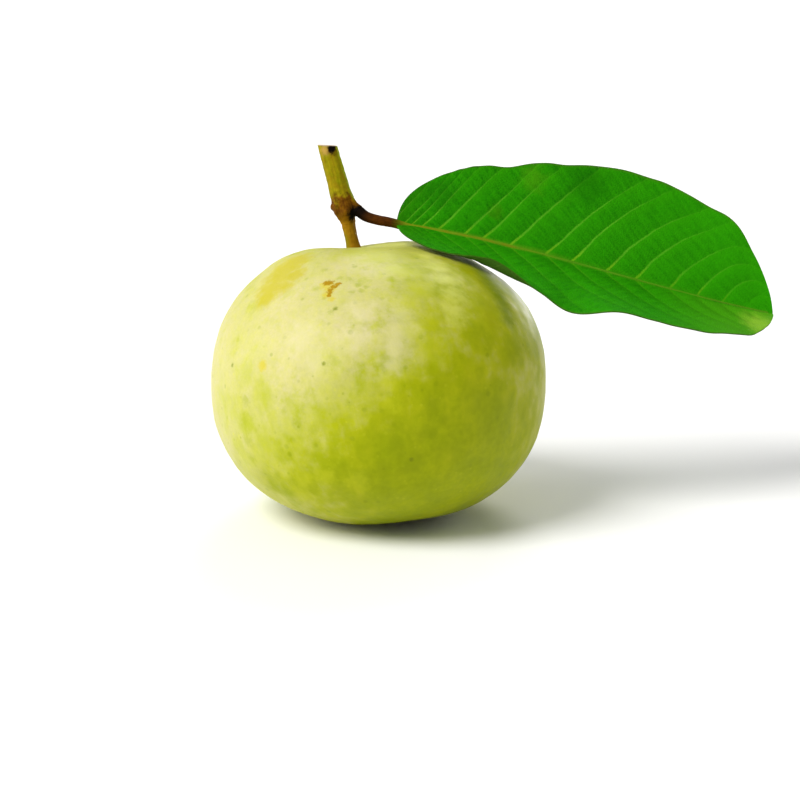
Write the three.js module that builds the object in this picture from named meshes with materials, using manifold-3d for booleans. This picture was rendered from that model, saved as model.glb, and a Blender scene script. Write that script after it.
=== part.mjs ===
// A white guava (Psidium guajava) as picked: one whole fruit with its dried calyx, the short piece
// of twig that bore it, and one leaf. Millimetres, +Z up. The origin is the middle of the small
// flat spot under the fruit, and the leaf reaches out along +X.
import * as THREE from 'three';
import { mergeVertices } from 'three/addons/utils/BufferGeometryUtils.js';
import Module from 'manifold-3d';

const wasm = await Module();
wasm.setup();

// ---------------------------------------------------------------- driving dimensions, mm and radians

const clearance = 0.3; // left between neighbouring pieces

const fruitWidth = 84.4;
const fruitHalfHeight = 34.5;
const fruitCentreHeight = 33.4; // less than the half height, so that the underside is a little flattened
const fruitSquareness = 2.32; // exponent of the superellipse: 2 is an ellipse, more is squarer
const flatSpotBlend = 0.35; // height over which the skin turns into the flat spot
const ribs = [
  { count: 5, height: 0.45, turn: 0.7, fade: 1.5 },
  { count: 8, height: 0.2, turn: 2.1, fade: 2.0 },
];
const ribStrength = { middle: 0.55, swing: 0.45 }; // the ribs are strongest at the stalk's end
const swellings = [
  { azimuth: 60, elevation: 68, height: 0.9, spread: 0.35 },
  { azimuth: 190, elevation: 60, height: 1.8, spread: 0.32 },
];
const dimple = { depth: 1.9, spread: 0.27 }; // round the stalk
const basin = { depth: 5.0, spread: 0.24, steepness: 8, floorSpread: 0.16 }; // round the calyx

const stalkLean = new THREE.Vector3(-6.35, 10.5, 33.2); // from the fruit's centre to where the stalk enters
const stalkRadius = 1.62;
const stalkFootRadius = 1.9; // it widens a little where it enters the fruit
const stalkFoot = { from: 0.86, to: 0.96 }; // shares of the whole stem between which it widens
const socketDepth = 1.5;

const twigTop = new THREE.Vector3(-12.76, 11.5, 91.85);
const twigMiddle = new THREE.Vector3(-9.95, 10.7, 81.67);
const twigNode = new THREE.Vector3(-8.24, 10.2, 75.5); // the joint where leaf, stalk and twig meet
const stalkMiddle = new THREE.Vector3(-7.3, 10.3, 70.75);
const twigTopRadius = 2.38;
const twigFootRadius = 2.72; // just above the joint
const nodeRadius = 3.0;
const nodeHalfHeight = 3.4;
const twigCut = new THREE.Vector3(0.05, 0.1, 1).normalize(); // the way the twig's cut face looks
const cutFade = 0.12; // share of the stem over which the rings turn from the cut face to square
// The scar of an older leaf on the joint, and the wood that fills the angle over the leaf's stalk.
const oldLeafScar = { from: [0.3, 0, 0.2], to: [-3.3, -0.3, 1.1], radius: 2.0, tipRadius: 1.0 };
const web = { from: [-0.8, 0.2, 3.9], radius: 2.15, tipRadius: 1.3, end: 0.2 };

const petioleRoute = [
  [-8.24, 10.2, 75.9],
  [-6.34, 9.8, 76.1],
  [-4.82, 9.0, 75.46],
  [-3.05, 8.0, 74.37],
  [-0.4, 6.9, 73.72],
  [2.49, 6.2, 73.29],
];
const cushionShare = 0.27; // share of the petiole's route that is the swollen cushion on the twig
const cushionRadius = 1.5;
const cushionBaseRadius = 2.3;
const cushionTaper = 0.6;

const leafBase = new THREE.Vector3(4.75, 6.0, 72.82);
const leafLength = 101.8;
const leafHeading = THREE.MathUtils.degToRad(9); // away from +X towards +Y
const midribDip = { start: 10, whole: 15.1, end: 13 }; // degrees below level
const midribHandle = 0.33; // share of the leaf's length that the midrib keeps to its end directions
const leafFullness = { width: 31.6, base: 0.424, tip: 3.6, bluntness: 0.64 };
const farHalf = { rise: 54, curl: 8.0 }; // degrees above level, and how much its edge curls up
const nearHalf = { rise: -17.5, curl: 0.9 };
const curlWidth = 27; // the half width at which an edge would curl up by the whole of its curl
const farWaves = [
  { at: 0.27, spread: 0.05, rise: -1.2 },
  { at: 0.4, spread: 0.06, rise: -0.6 },
  { at: 0.73, spread: 0.07, rise: -0.35 },
  { at: 0.87, spread: 0.05, rise: 1.65 },
];
const nearWaves = [
  { at: 0.05, spread: 0.07, rise: -0.45 },
  { at: 0.27, spread: 0.1, rise: -4.2 },
  { at: 0.44, spread: 0.07, rise: -3.5 },
  { at: 0.6, spread: 0.08, rise: 0.5 },
  { at: 0.93, spread: 0.05, rise: -1.0 },
];
const nearEdgeRoll = { at: 0.245, spread: 0.09, rise: 6.2 }; // a short stretch of edge turned up
const bladeThickness = 0.7;
const midribRadius = { base: 1.2, tip: 0.6, taper: 0.8 };
const midribProud = 0.3; // how far the rib stands above the blade's upper face
const ribStart = 0.03; // shares of the leaf's length where the rib's own curve starts and ends
const ribEnd = 0.975;
const bladeTrim = 0.0004; // share left off both ends, where the blade has no width

const sepalCount = 5;
const sepal = { from: 2.2, to: 6.0, halfWidth: 1.9, thickness: 0.62, height: 0.5, lift: 0.5, cupping: 0.098 };
const sepalShape = { root: 0.82, flare: 0.5, tip: 2.6, bluntness: 0.6, trim: 0.002 };
const sepalUnevenness = { length: 0.07, skew: 0.1 };
const calyxCup = { radius: 3.0, height: 1.2, hollowRadius: 1.9, floor: 0.6 };
const styleStub = { radius: 0.45, height: 1.3 };

// ---------------------------------------------------------------- solids and meshes

// A smooth hill of height 1.
const bump = (value, { at, spread }) => Math.exp(-(((value - at) / spread) ** 2));

// A closed three.js geometry as a solid that can be joined and cut.
function solidOf(geometry) {
  const bare = geometry.clone();
  bare.deleteAttribute('normal');
  bare.deleteAttribute('uv');
  const merged = mergeVertices(bare, 1e-4);
  return new wasm.Manifold(
    new wasm.Mesh({
      numProp: 3,
      vertProperties: merged.attributes.position.array,
      triVerts: new Uint32Array(merged.index.array),
    }),
  );
}

function geometryOf(solid) {
  const mesh = solid.getMesh();
  const geometry = new THREE.BufferGeometry();
  geometry.setAttribute('position', new THREE.BufferAttribute(mesh.vertProperties, 3));
  geometry.setIndex(new THREE.BufferAttribute(mesh.triVerts, 1));
  geometry.computeVertexNormals();
  return geometry;
}

function joined(geometries) {
  return geometries.map(solidOf).reduce((whole, next) => whole.add(next));
}

function namedMesh(name, geometry, finish) {
  const mesh = new THREE.Mesh(geometry, new THREE.MeshStandardMaterial(finish));
  mesh.name = name;
  return mesh;
}

// Moves every vertex of a geometry to place(x, y, z).
function remap(geometry, place) {
  const position = geometry.attributes.position;
  const point = new THREE.Vector3();
  for (let i = 0; i < position.count; i += 1) {
    point.copy(place(position.getX(i), position.getY(i), position.getZ(i)));
    position.setXYZ(i, point.x, point.y, point.z);
  }
  return geometry;
}

// A round limb along a curve. radiusAt(t) is its radius at the share t of the curve's length, and
// cut, where it is given, is the normal of the flat face that ends it at t = 0.
function limb(curve, radiusAt, { sides, steps, cut }) {
  const side = new THREE.Vector3(0, 1, 0);
  return remap(new THREE.CylinderGeometry(1, 1, 1, sides, steps), (x, y, z) => {
    const t = THREE.MathUtils.clamp(y + 0.5, 0, 1);
    const along = curve.getTangentAt(t);
    const across = side.clone().addScaledVector(along, -side.dot(along)).normalize();
    const third = new THREE.Vector3().crossVectors(across, along);
    const offset = across.multiplyScalar(x).addScaledVector(third, z).multiplyScalar(radiusAt(t));
    if (cut) {
      const slide = -offset.dot(cut) / along.dot(cut);
      offset.addScaledVector(along, slide * bump(t, { at: 0, spread: cutFade }));
    }
    return curve.getPointAt(t).add(offset);
  });
}

// A thin closed sheet round the surface middle(s, t), s and t from 0 to 1. Both faces are split
// into the same triangles.
function sheet(middle, thickness, stepsAlong, stepsAcross) {
  const grid = remap(new THREE.PlaneGeometry(1, 1, stepsAlong, stepsAcross), (x, y) =>
    middle(x + 0.5, y + 0.5),
  );
  grid.computeVertexNormals();
  const { position, normal } = grid.attributes;
  const count = position.count;
  const points = new Float32Array(count * 6);
  const point = new THREE.Vector3();
  const push = new THREE.Vector3();
  [1, -1].forEach((face, layer) => {
    for (let i = 0; i < count; i += 1) {
      push.fromBufferAttribute(normal, i).multiplyScalar((face * thickness) / 2);
      point.fromBufferAttribute(position, i).add(push);
      point.toArray(points, (layer * count + i) * 3);
    }
  });

  const faces = Array.from(grid.index.array);
  const triangles = [...faces];
  for (let i = 0; i < faces.length; i += 3) {
    triangles.push(faces[i] + count, faces[i + 2] + count, faces[i + 1] + count);
  }
  const row = stepsAlong + 1;
  const rim = [];
  for (let i = 0; i < stepsAlong; i += 1) rim.push(i);
  for (let j = 0; j < stepsAcross; j += 1) rim.push(j * row + stepsAlong);
  for (let i = stepsAlong; i > 0; i -= 1) rim.push(stepsAcross * row + i);
  for (let j = stepsAcross; j > 0; j -= 1) rim.push(j * row);
  rim.forEach((a, k) => {
    const b = rim[(k + 1) % rim.length];
    triangles.push(a, b, a + count, b, b + count, a + count);
  });

  const closed = new THREE.BufferGeometry();
  closed.setAttribute('position', new THREE.BufferAttribute(points, 3));
  closed.setIndex(triangles);
  return closed;
}

// ---------------------------------------------------------------- fruit

const stalkAxis = stalkLean.clone().normalize();
const fruitCentre = new THREE.Vector3(0, 0, fruitCentreHeight);
const leanTurn = new THREE.Quaternion().setFromUnitVectors(new THREE.Vector3(0, 0, 1), stalkAxis);

const swellingRules = swellings.map(({ azimuth, elevation, height, spread }) => {
  const level = THREE.MathUtils.degToRad(elevation);
  const around = THREE.MathUtils.degToRad(azimuth);
  const towards = new THREE.Vector3(
    Math.cos(around) * Math.cos(level),
    Math.sin(around) * Math.cos(level),
    Math.sin(level),
  );
  return { towards, height, sharpness: 2 / spread ** 2 };
});

// The way the basin's floor faces, taken across a circle at the given angle from its middle.
function floorNormal(angle) {
  const [east, north, west, south] = [0, 1, 2, 3].map((quarter) =>
    skinPoint(Math.PI - angle, (quarter * Math.PI) / 2),
  );
  const across = east.sub(west);
  return across.cross(south.sub(north)).normalize();
}

// The skin's point at the angle polar from the stalk's axis and the angle around it.
function skinPoint(polar, around) {
  const level = Math.sin(polar);
  const ray = new THREE.Vector3(level * Math.cos(around), level * Math.sin(around), Math.cos(polar));
  ray.applyQuaternion(leanTurn);

  const across = (Math.hypot(ray.x, ray.y) / (fruitWidth / 2)) ** fruitSquareness;
  const up = (Math.abs(ray.z) / fruitHalfHeight) ** fruitSquareness;
  let reach = (across + up) ** (-1 / fruitSquareness);
  for (const { count, height, turn, fade } of ribs) {
    const strength = ribStrength.middle + ribStrength.swing * Math.cos(polar);
    reach += height * Math.cos(count * around + turn) * Math.sin(polar) ** fade * strength;
  }
  for (const { towards, height, sharpness } of swellingRules) {
    reach += height * Math.exp((ray.dot(towards) - 1) * sharpness);
  }
  reach -= dimple.depth * Math.exp(-((polar / dimple.spread) ** 2));
  reach -= basin.depth / (1 + ((Math.PI - polar) / basin.spread) ** basin.steepness);

  const point = ray.multiplyScalar(reach).add(fruitCentre);
  if (point.z < -flatSpotBlend) point.z = 0;
  else if (point.z < flatSpotBlend) point.z = (point.z + flatSpotBlend) ** 2 / (4 * flatSpotBlend);
  return point;
}

const stalkEntry = skinPoint(0, 0);
const basinFloor = skinPoint(Math.PI, 0);
const basinOutwards = floorNormal(basin.floorSpread);
const socketFloor = stalkEntry.clone().addScaledVector(stalkAxis, -socketDepth);

function fruit() {
  const around = 72;
  const rings = 44;
  const crowding = 0.08; // draws the rings towards the stalk and the calyx, where the skin curves most
  const body = remap(new THREE.SphereGeometry(1, around, rings).rotateX(Math.PI / 2), (x, y, z) => {
    const share = Math.acos(THREE.MathUtils.clamp(z, -1, 1)) / Math.PI;
    const polar = Math.PI * (share - crowding * Math.sin(2 * Math.PI * share));
    return skinPoint(polar, Math.atan2(y, x));
  });
  const socketTop = stalkEntry.clone().addScaledVector(stalkAxis, 2 * dimple.depth);
  const socket = limb(new THREE.LineCurve3(socketFloor, socketTop), () => stalkFootRadius + clearance, {
    sides: 20,
    steps: 1,
  });
  return geometryOf(solidOf(body).subtract(solidOf(socket)));
}

// ---------------------------------------------------------------- calyx, on the fruit's lower end

// A lobe at the angle turn, in the calyx's own frame: +Z points out of the fruit. It narrows to a
// blunt tip, its edges turn out of the basin, and it lifts a little towards the tip.
function sepalSheet(turn, stretch, skew) {
  const { root, flare, tip, bluntness, trim } = sepalShape;
  return sheet(
    (s, t) => {
      const along = THREE.MathUtils.lerp(trim, 1 - trim, s);
      const halfWidth = sepal.halfWidth * (1 - along ** tip) ** bluntness * (root + flare * along);
      const aside = (2 * t - 1) * halfWidth;
      const out = sepal.from + (sepal.to - sepal.from) * along * stretch;
      const height = sepal.height + sepal.lift * along ** 2 + sepal.cupping * aside ** 2;
      const angle = turn + skew * along;
      return new THREE.Vector3(
        out * Math.cos(angle) - aside * Math.sin(angle),
        out * Math.sin(angle) + aside * Math.cos(angle),
        height,
      );
    },
    sepal.thickness,
    6,
    4,
  );
}

function calyx() {
  const { radius, height, hollowRadius, floor } = calyxCup;
  const profile = [
    [0, 0],
    [radius * 0.8, 0],
    [radius, height * 0.4],
    [radius * 0.93, height * 0.9],
    [(radius + hollowRadius) / 2, height],
    [hollowRadius * 1.05, height * 0.9],
    [hollowRadius, floor],
    [0, floor],
  ].map(([r, z]) => new THREE.Vector2(r, z));
  const cup = new THREE.LatheGeometry(profile, 20).rotateX(Math.PI / 2);
  const stub = new THREE.CylinderGeometry(styleStub.radius * 0.7, styleStub.radius, styleStub.height, 10)
    .rotateX(Math.PI / 2)
    .translate(0, 0, styleStub.height / 2 + floor / 2);
  const sepals = Array.from({ length: sepalCount }, (_, i) => {
    const turn = (2 * Math.PI * i) / sepalCount;
    const stretch = 1 - sepalUnevenness.length * Math.sin(2.4 * i + 0.4);
    return sepalSheet(turn, stretch, sepalUnevenness.skew * Math.cos(1.7 * i));
  });
  return geometryOf(joined([cup, stub, ...sepals]));
}

// ---------------------------------------------------------------- twig with the fruit's stalk

const petioleCurve = new THREE.CatmullRomCurve3([
  ...petioleRoute.map((point) => new THREE.Vector3(...point)),
  leafBase,
]);

// The stretch of a curve between two shares of its length.
class Stretch extends THREE.Curve {
  constructor(curve, from, to) {
    super();
    this.curve = curve;
    this.from = from;
    this.to = to;
  }

  getPoint(t) {
    return this.curve.getPointAt(THREE.MathUtils.lerp(this.from, this.to, t));
  }
}

// A straight stub from one point to another whose radius shrinks from radius to tipRadius.
function stub(from, to, { radius, tipRadius }, taper) {
  return limb(new THREE.LineCurve3(from, to), (t) => THREE.MathUtils.lerp(radius, tipRadius, t ** taper), {
    sides: 14,
    steps: 5,
  });
}

function twig() {
  const stalkEnd = socketFloor.clone().addScaledVector(stalkAxis, clearance);
  const stem = new THREE.CatmullRomCurve3([twigTop, twigMiddle, twigNode, stalkMiddle, stalkEntry, stalkEnd]);
  const length = stem.getLength();
  const nodeAt = twigTop.distanceTo(twigNode) / length;
  const swell = nodeHalfHeight / length;
  const stemRadius = (t) => {
    const below = THREE.MathUtils.smoothstep(t, nodeAt, nodeAt + swell);
    const above = THREE.MathUtils.lerp(twigTopRadius, twigFootRadius, Math.min(t / nodeAt, 1));
    const straight = THREE.MathUtils.lerp(above, stalkRadius, below);
    const joint = (nodeRadius - twigFootRadius) * bump(t, { at: nodeAt, spread: swell });
    const entering = THREE.MathUtils.smoothstep(t, stalkFoot.from, stalkFoot.to);
    return straight + joint + (stalkFootRadius - stalkRadius) * entering;
  };
  const shaft = limb(stem, stemRadius, { sides: 18, steps: 28, cut: twigCut });

  const cushionCurve = new Stretch(petioleCurve, 0, cushionShare);
  const cushionThickness = (t) => THREE.MathUtils.lerp(cushionBaseRadius, cushionRadius, t ** cushionTaper);
  const cushion = limb(cushionCurve, cushionThickness, { sides: 14, steps: 6 });

  const fromNode = (offset) => twigNode.clone().add(new THREE.Vector3(...offset));
  const scar = stub(fromNode(oldLeafScar.from), fromNode(oldLeafScar.to), oldLeafScar, 3);
  const filling = stub(fromNode(web.from), petioleCurve.getPointAt(web.end), web, 1);
  return geometryOf(joined([shaft, cushion, scar, filling]));
}

// ---------------------------------------------------------------- leaf

const leafAhead = new THREE.Vector3(Math.cos(leafHeading), Math.sin(leafHeading), 0);

function dipped(degrees) {
  const dip = THREE.MathUtils.degToRad(degrees);
  return leafAhead.clone().multiplyScalar(Math.cos(dip)).setZ(-Math.sin(dip));
}

const leafTip = leafBase.clone().addScaledVector(dipped(midribDip.whole), leafLength);
const midrib = new THREE.CubicBezierCurve3(
  leafBase,
  leafBase.clone().addScaledVector(dipped(midribDip.start), leafLength * midribHandle),
  leafTip.clone().addScaledVector(dipped(midribDip.end), -leafLength * midribHandle),
  leafTip,
);

function halfWidthAt(along) {
  const { width, base, tip, bluntness } = leafFullness;
  return width * along ** base * (1 - along ** tip) ** bluntness;
}

// The blade's middle surface: along runs from 0 at the base to 1 at the tip, and side from -1 at
// the near edge to 1 at the far one. Each half rises or falls from the midrib at its own angle,
// its edge curls with the square of the distance, and the waves are bumps along the edge.
function bladePoint(along, side) {
  const ahead = midrib.getTangent(along);
  const left = new THREE.Vector3(0, 0, 1).cross(ahead).normalize();
  const over = new THREE.Vector3().crossVectors(ahead, left);
  const half = side > 0 ? farHalf : nearHalf;
  const waves = side > 0 ? farWaves : nearWaves;
  const width = halfWidthAt(along);
  const out = Math.abs(side) * width;
  const rise = THREE.MathUtils.degToRad(half.rise);
  let height = out * Math.sin(rise);
  height += side ** 2 * half.curl * (width / curlWidth);
  for (const wave of waves) height += side ** 2 * wave.rise * bump(along, wave);
  if (side < 0) height += side ** 6 * nearEdgeRoll.rise * bump(along, nearEdgeRoll);
  return midrib
    .getPoint(along)
    .addScaledVector(left, Math.sign(side) * out * Math.cos(rise))
    .addScaledVector(over, height);
}

// The way that halves the angle between the blade's two halves, on its upper side.
function foldUpwards(along) {
  const ahead = midrib.getTangent(along);
  const left = new THREE.Vector3(0, 0, 1).cross(ahead).normalize();
  const over = new THREE.Vector3().crossVectors(ahead, left);
  const lean = THREE.MathUtils.degToRad((farHalf.rise - nearHalf.rise) / 2);
  return over.multiplyScalar(Math.cos(lean)).addScaledVector(left, -Math.sin(lean));
}

function leaf() {
  const blade = sheet(
    (s, t) => {
      const along = THREE.MathUtils.lerp(bladeTrim, 1 - bladeTrim, 0.5 - 0.5 * Math.cos(Math.PI * s));
      return bladePoint(along, 2 * t - 1);
    },
    bladeThickness,
    42,
    14,
  );
  const gap = clearance / petioleCurve.getLength();
  const petiolePoints = Array.from({ length: 7 }, (_, i) =>
    petioleCurve.getPointAt(THREE.MathUtils.lerp(cushionShare + gap, 1, i / 6)),
  );
  const petioleLength = new THREE.CatmullRomCurve3(petiolePoints).getLength();
  const baseAt = petioleLength / (petioleLength + leafLength * ribEnd);
  const { base, tip, taper } = midribRadius;
  const ribRadius = (along) => THREE.MathUtils.lerp(base, tip, along ** taper);
  const ribPoints = Array.from({ length: 12 }, (_, i) => {
    const along = ribEnd * THREE.MathUtils.lerp(ribStart, 1, i / 11);
    const sink = bladeThickness / 2 + midribProud - ribRadius(along);
    return midrib.getPoint(along).addScaledVector(foldUpwards(along), sink);
  });
  const stemRadius = (t) =>
    t < baseAt
      ? THREE.MathUtils.lerp(cushionRadius, base, Math.sqrt(t / baseAt))
      : ribRadius((t - baseAt) / (1 - baseAt));
  const stem = limb(new THREE.CatmullRomCurve3([...petiolePoints, ...ribPoints]), stemRadius, {
    sides: 10,
    steps: 40,
  });
  return geometryOf(joined([blade, stem]));
}

// ---------------------------------------------------------------- the guava

const guava = new THREE.Group();
guava.add(namedMesh('fruit', fruit(), { color: 0xbfc93a, roughness: 0.42, metalness: 0 }));
guava.add(namedMesh('twig', twig(), { color: 0x8a6a12, roughness: 0.75, metalness: 0 }));
guava.add(namedMesh('leaf', leaf(), { color: 0x2a8c10, roughness: 0.5, metalness: 0 }));

const driedCalyx = namedMesh('calyx', calyx(), { color: 0x5a3c1c, roughness: 0.9, metalness: 0 });
driedCalyx.position.copy(basinFloor).addScaledVector(basinOutwards, clearance);
driedCalyx.quaternion.setFromUnitVectors(new THREE.Vector3(0, 0, 1), basinOutwards);
guava.add(driedCalyx);

export default guava;
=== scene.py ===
"""A whole white guava as picked, with its twig and one leaf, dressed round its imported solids.

Sizes here are millimetres, turned into Blender's metres as each mesh is made. The frame is the
solids' own: +Z up, the origin under the fruit, and the leaf reaching out along +X.
"""
import math

import bpy
import numpy as np
from mathutils import Matrix, Vector


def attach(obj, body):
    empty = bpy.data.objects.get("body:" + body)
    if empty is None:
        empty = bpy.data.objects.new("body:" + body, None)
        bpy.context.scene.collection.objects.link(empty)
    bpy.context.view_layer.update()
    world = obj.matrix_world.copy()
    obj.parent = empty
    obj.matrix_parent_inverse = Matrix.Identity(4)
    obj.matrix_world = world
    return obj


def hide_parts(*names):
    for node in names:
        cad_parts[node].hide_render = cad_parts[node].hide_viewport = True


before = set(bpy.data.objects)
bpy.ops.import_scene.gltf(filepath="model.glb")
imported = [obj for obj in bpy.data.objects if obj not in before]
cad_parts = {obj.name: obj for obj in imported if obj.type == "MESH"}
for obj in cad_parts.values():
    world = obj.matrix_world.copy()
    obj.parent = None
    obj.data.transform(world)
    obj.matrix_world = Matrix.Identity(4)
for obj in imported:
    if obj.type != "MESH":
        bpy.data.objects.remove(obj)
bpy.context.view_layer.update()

MM = 0.001
BODY = "root"
UP = np.array([0.0, 0.0, 1.0])

# ------------------------ driving dimensions, mm

FRUIT_WIDTH = 84.4
FRUIT_HALF_HEIGHT = 34.5
FRUIT_CENTRE = np.array([0.0, 0.0, 33.4])
FRUIT_SQUARENESS = 2.32
FLAT_SPOT_BLEND = 0.35
RIBS = ((5, 0.45, 0.7, 1.5), (8, 0.2, 2.1, 2.0))  # count, height, turn, fade
RIBS_AT_WAIST = 0.55  # their height there, as a share of the height at the stalk
SWELLINGS = ((60, 68, 0.9, 0.35), (190, 60, 1.8, 0.32))  # azimuth, elevation, height, spread
DIMPLE_DEPTH, DIMPLE_SPREAD = 1.9, 0.27
BASIN_DEPTH, BASIN_SPREAD, BASIN_STEEPNESS = 5.0, 0.24, 8
BASIN_FLOOR_SPREAD = 0.16  # radians from the axis where the basin's floor is measured
STALK_AXIS = np.array([-6.35, 10.5, 33.2])
STALK_FOOT_REACH = 32  # about how far the stalk's foot is from the fruit's centre
PIT_PLAY, PIT_STEEPNESS = 0.2, 14
SKIN_WAVES = ((0.1, 26, 9, 26), (0.035, 30, 3, 6))  # height, number, shortest, longest
SKIN_INSET = 0.06  # keeps the crests of the waves inside the solid
GRAIN_RADIUS = 36  # the fruit's, for the pattern that runs from stalk to calyx

STALK_RADIUS, STALK_FOOT_RADIUS, SOCKET_DEPTH = 1.62, 1.9, 1.5
TWIG_TOP = np.array([-12.76, 11.5, 91.85])
TWIG_MIDDLE = np.array([-9.95, 10.7, 81.67])
TWIG_NODE = np.array([-8.24, 10.2, 75.5])
STALK_MIDDLE = np.array([-7.3, 10.3, 70.75])
TWIG_TOP_RADIUS, TWIG_FOOT_RADIUS, NODE_RADIUS, NODE_HALF_HEIGHT = 2.38, 2.72, 3.0, 3.4
NODE_AT = np.linalg.norm(TWIG_TOP - TWIG_NODE)  # how far the joint is below the twig's top
TWIG_CUT = np.array([0.05, 0.1, 1.0])  # the way the twig's cut face looks
TWIG_SPARE = 0.9  # the length that the cut takes off the twig's top
BARK_GRAIN_RADIUS = 2.4
FURROWS, WARTS, FURROW_STRETCH = (0.05, 22, 0.8, 2.0), (0.045, 20, 1.2, 3.2), 0.14
WEB_START, WEB_RADIUS, WEB_END_RADIUS = np.array([-0.8, 0.2, 3.9]), 2.15, 1.3
WEB_END = 24  # the point of the leaf stalk's line where the web ends
RING_SCARS = ((-2.9, 0.22, 0.08), (3.1, 0.25, 0.1))  # place below the joint, spread, height

PETIOLE_ROUTE = ((-8.24, 10.2, 75.9), (-6.34, 9.8, 76.1), (-4.82, 9.0, 75.46), (-3.05, 8.0, 74.37),
                 (-0.4, 6.9, 73.72), (2.49, 6.2, 73.29))
CUSHION_SHARE, CUSHION_START_RADIUS, CUSHION_RADIUS = 0.27, 2.3, 1.5
PIECE_GAP = 0.3
PETIOLE_TUCK = 0.8

LEAF_BASE = np.array([4.75, 6.0, 72.82])
LEAF_LENGTH = 101.8
LEAF_HEADING = 9  # degrees, as the dips are
DIP_START, DIP_WHOLE, DIP_END = 10, 15.1, 13
HANDLE = 0.33  # how long the midrib's Bezier handles are, as a share of the leaf's length
FULLNESS, BASE_POWER, TIP_POWER, BLUNTNESS = 31.6, 0.424, 3.6, 0.64
FULL_HALF_WIDTH = 27  # the half width that the curls below are given for
FAR_RISE, FAR_CURL = 54, 8.0
NEAR_RISE, NEAR_CURL = -17.5, 0.9
# share of the leaf's length, spread and height of each wave of its edges
FAR_WAVES = ((0.27, 0.05, -1.2), (0.4, 0.06, -0.6), (0.73, 0.07, -0.35), (0.87, 0.05, 1.65))
NEAR_WAVES = (
    (0.05, 0.07, -0.45),
    (0.27, 0.1, -4.2),
    (0.44, 0.07, -3.5),
    (0.6, 0.08, 0.5),
    (0.93, 0.05, -1.0),
)
EDGE_ROLL = (0.245, 0.09, 6.2)
BLADE_THICKNESS = 0.46
# where the side veins leave the midrib, as shares of the leaf's length
VEIN_STARTS = (0.015, 0.035, 0.061, 0.103, 0.17, 0.216, 0.29, 0.386, 0.451, 0.547, 0.624, 0.717,
               0.791, 0.86, 0.925, 0.99)
BASE_VEIN_GAP = 0.03  # the share between side veins that would start before the first one
LAST_VEIN = 13.3  # veins beyond this one of the row above are too weak to see
SLANT_AT_BASE, SLANT_AT_TIP = 0.86, 0.44  # how far side veins lean towards the tip, per mm outwards
VEIN_SWEEP = 2.3  # how much more they lean near the edge
GROOVE_DEPTH, RIDGE_HEIGHT, VEIN_SPREAD = 0.07, 0.16, 0.06
QUILT_FAR, QUILT_NEAR = 0.12, 0.16
BLADE_WAVES = (0.1, 18, 8, 20)
RIB_RADIUS, RIB_TAPER, RIB_PROUD = 1.15, 0.87, 0.28
# length along the leaf's stalk and midrib, and the radius there; it ends in the tip radius
LIMB_RADII = ((0, 1.46), (1.2, 1.4), (4, 1.28), (8.5, 1.25), (12, 1.12), (20, 0.95), (60, 0.62))
LIMB_TIP_RADIUS = 0.26

LOBES, LOBE_HALF_WIDTH, LOBE_START, LOBE_LENGTH, LOBE_THICKNESS = 5, 1.9, 2.2, 3.8, 0.34
CROWN_RADIUS, CROWN_THICKNESS, CROWN_HEIGHT = 2.45, 1.1, 0.62
DISC_RADIUS = 2.3
LOBE_WAVES = (0.1, 14, 1.0, 2.6)
STUMPS = 46

# how finely each piece is meshed
SKIN_RINGS, SKIN_SPOKES = 236, 400
BLADE_ROWS, BLADE_COLUMNS = 281, 121
PETIOLE_POINTS, LIMB_POINTS, LIMB_SIDES = 120, 420, 28
TWIG_POINTS, TWIG_SIDES, CUSHION_SIDES, STUB_SIDES, TWIG_VOXEL = 170, 40, 32, 24, 0.16
LOBE_ROWS, LOBE_COLUMNS, CROWN_TURNS, CROWN_SIDES = 30, 21, 120, 18

# ------------------------ vectors, curves and meshes

STRETCH_STEPS = 40
DOME_STEPS = 5


def unit(vectors):
    """Vectors divided by their lengths."""
    vectors = np.asarray(vectors, float)
    return vectors / np.linalg.norm(vectors, axis=-1, keepdims=True)


def turn_to(axis):
    """The rotation matrix that carries +Z to axis by the shortest turn."""
    return np.array(Vector(UP).rotation_difference(Vector(axis)).to_matrix())


def full_turn(count):
    """count angles spread evenly round a circle."""
    return np.linspace(0, math.tau, count, endpoint=False)


def cylinder(radius, angle, height):
    """Points at a radius and an angle round +Z, and at a height."""
    parts = np.broadcast_arrays(radius * np.cos(angle), radius * np.sin(angle), height)
    return np.stack(parts, -1)


def compass(azimuth, elevation):
    """The unit vector at an azimuth from +X and an elevation above level, in degrees."""
    a, e = np.radians(azimuth), np.radians(elevation)
    return cylinder(math.cos(e), a, math.sin(e))


def bump(value, at, spread):
    """A smooth hill: exp(-((value - at) / spread)^2)."""
    return np.exp(-(((value - at) / spread) ** 2))


def hills(value, table):
    """The sum of the hills in a table of place, spread and height."""
    return sum(height * bump(value, at, spread) for at, spread, height in table)


def smooth(value, low, high):
    """0 below low, 1 above high, and 3t^2 - 2t^3 between them."""
    t = np.clip((value - low) / (high - low), 0, 1)
    return t * t * (3 - 2 * t)


def run(path):
    """The length of a path up to each of its points."""
    return np.concatenate([[0], np.cumsum(np.linalg.norm(np.diff(path, axis=0), axis=1))])


def at_length(path, wanted):
    """The points of a path at the lengths wanted along it."""
    return np.stack([np.interp(wanted, run(path), path[:, k]) for k in range(3)], -1)


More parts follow.
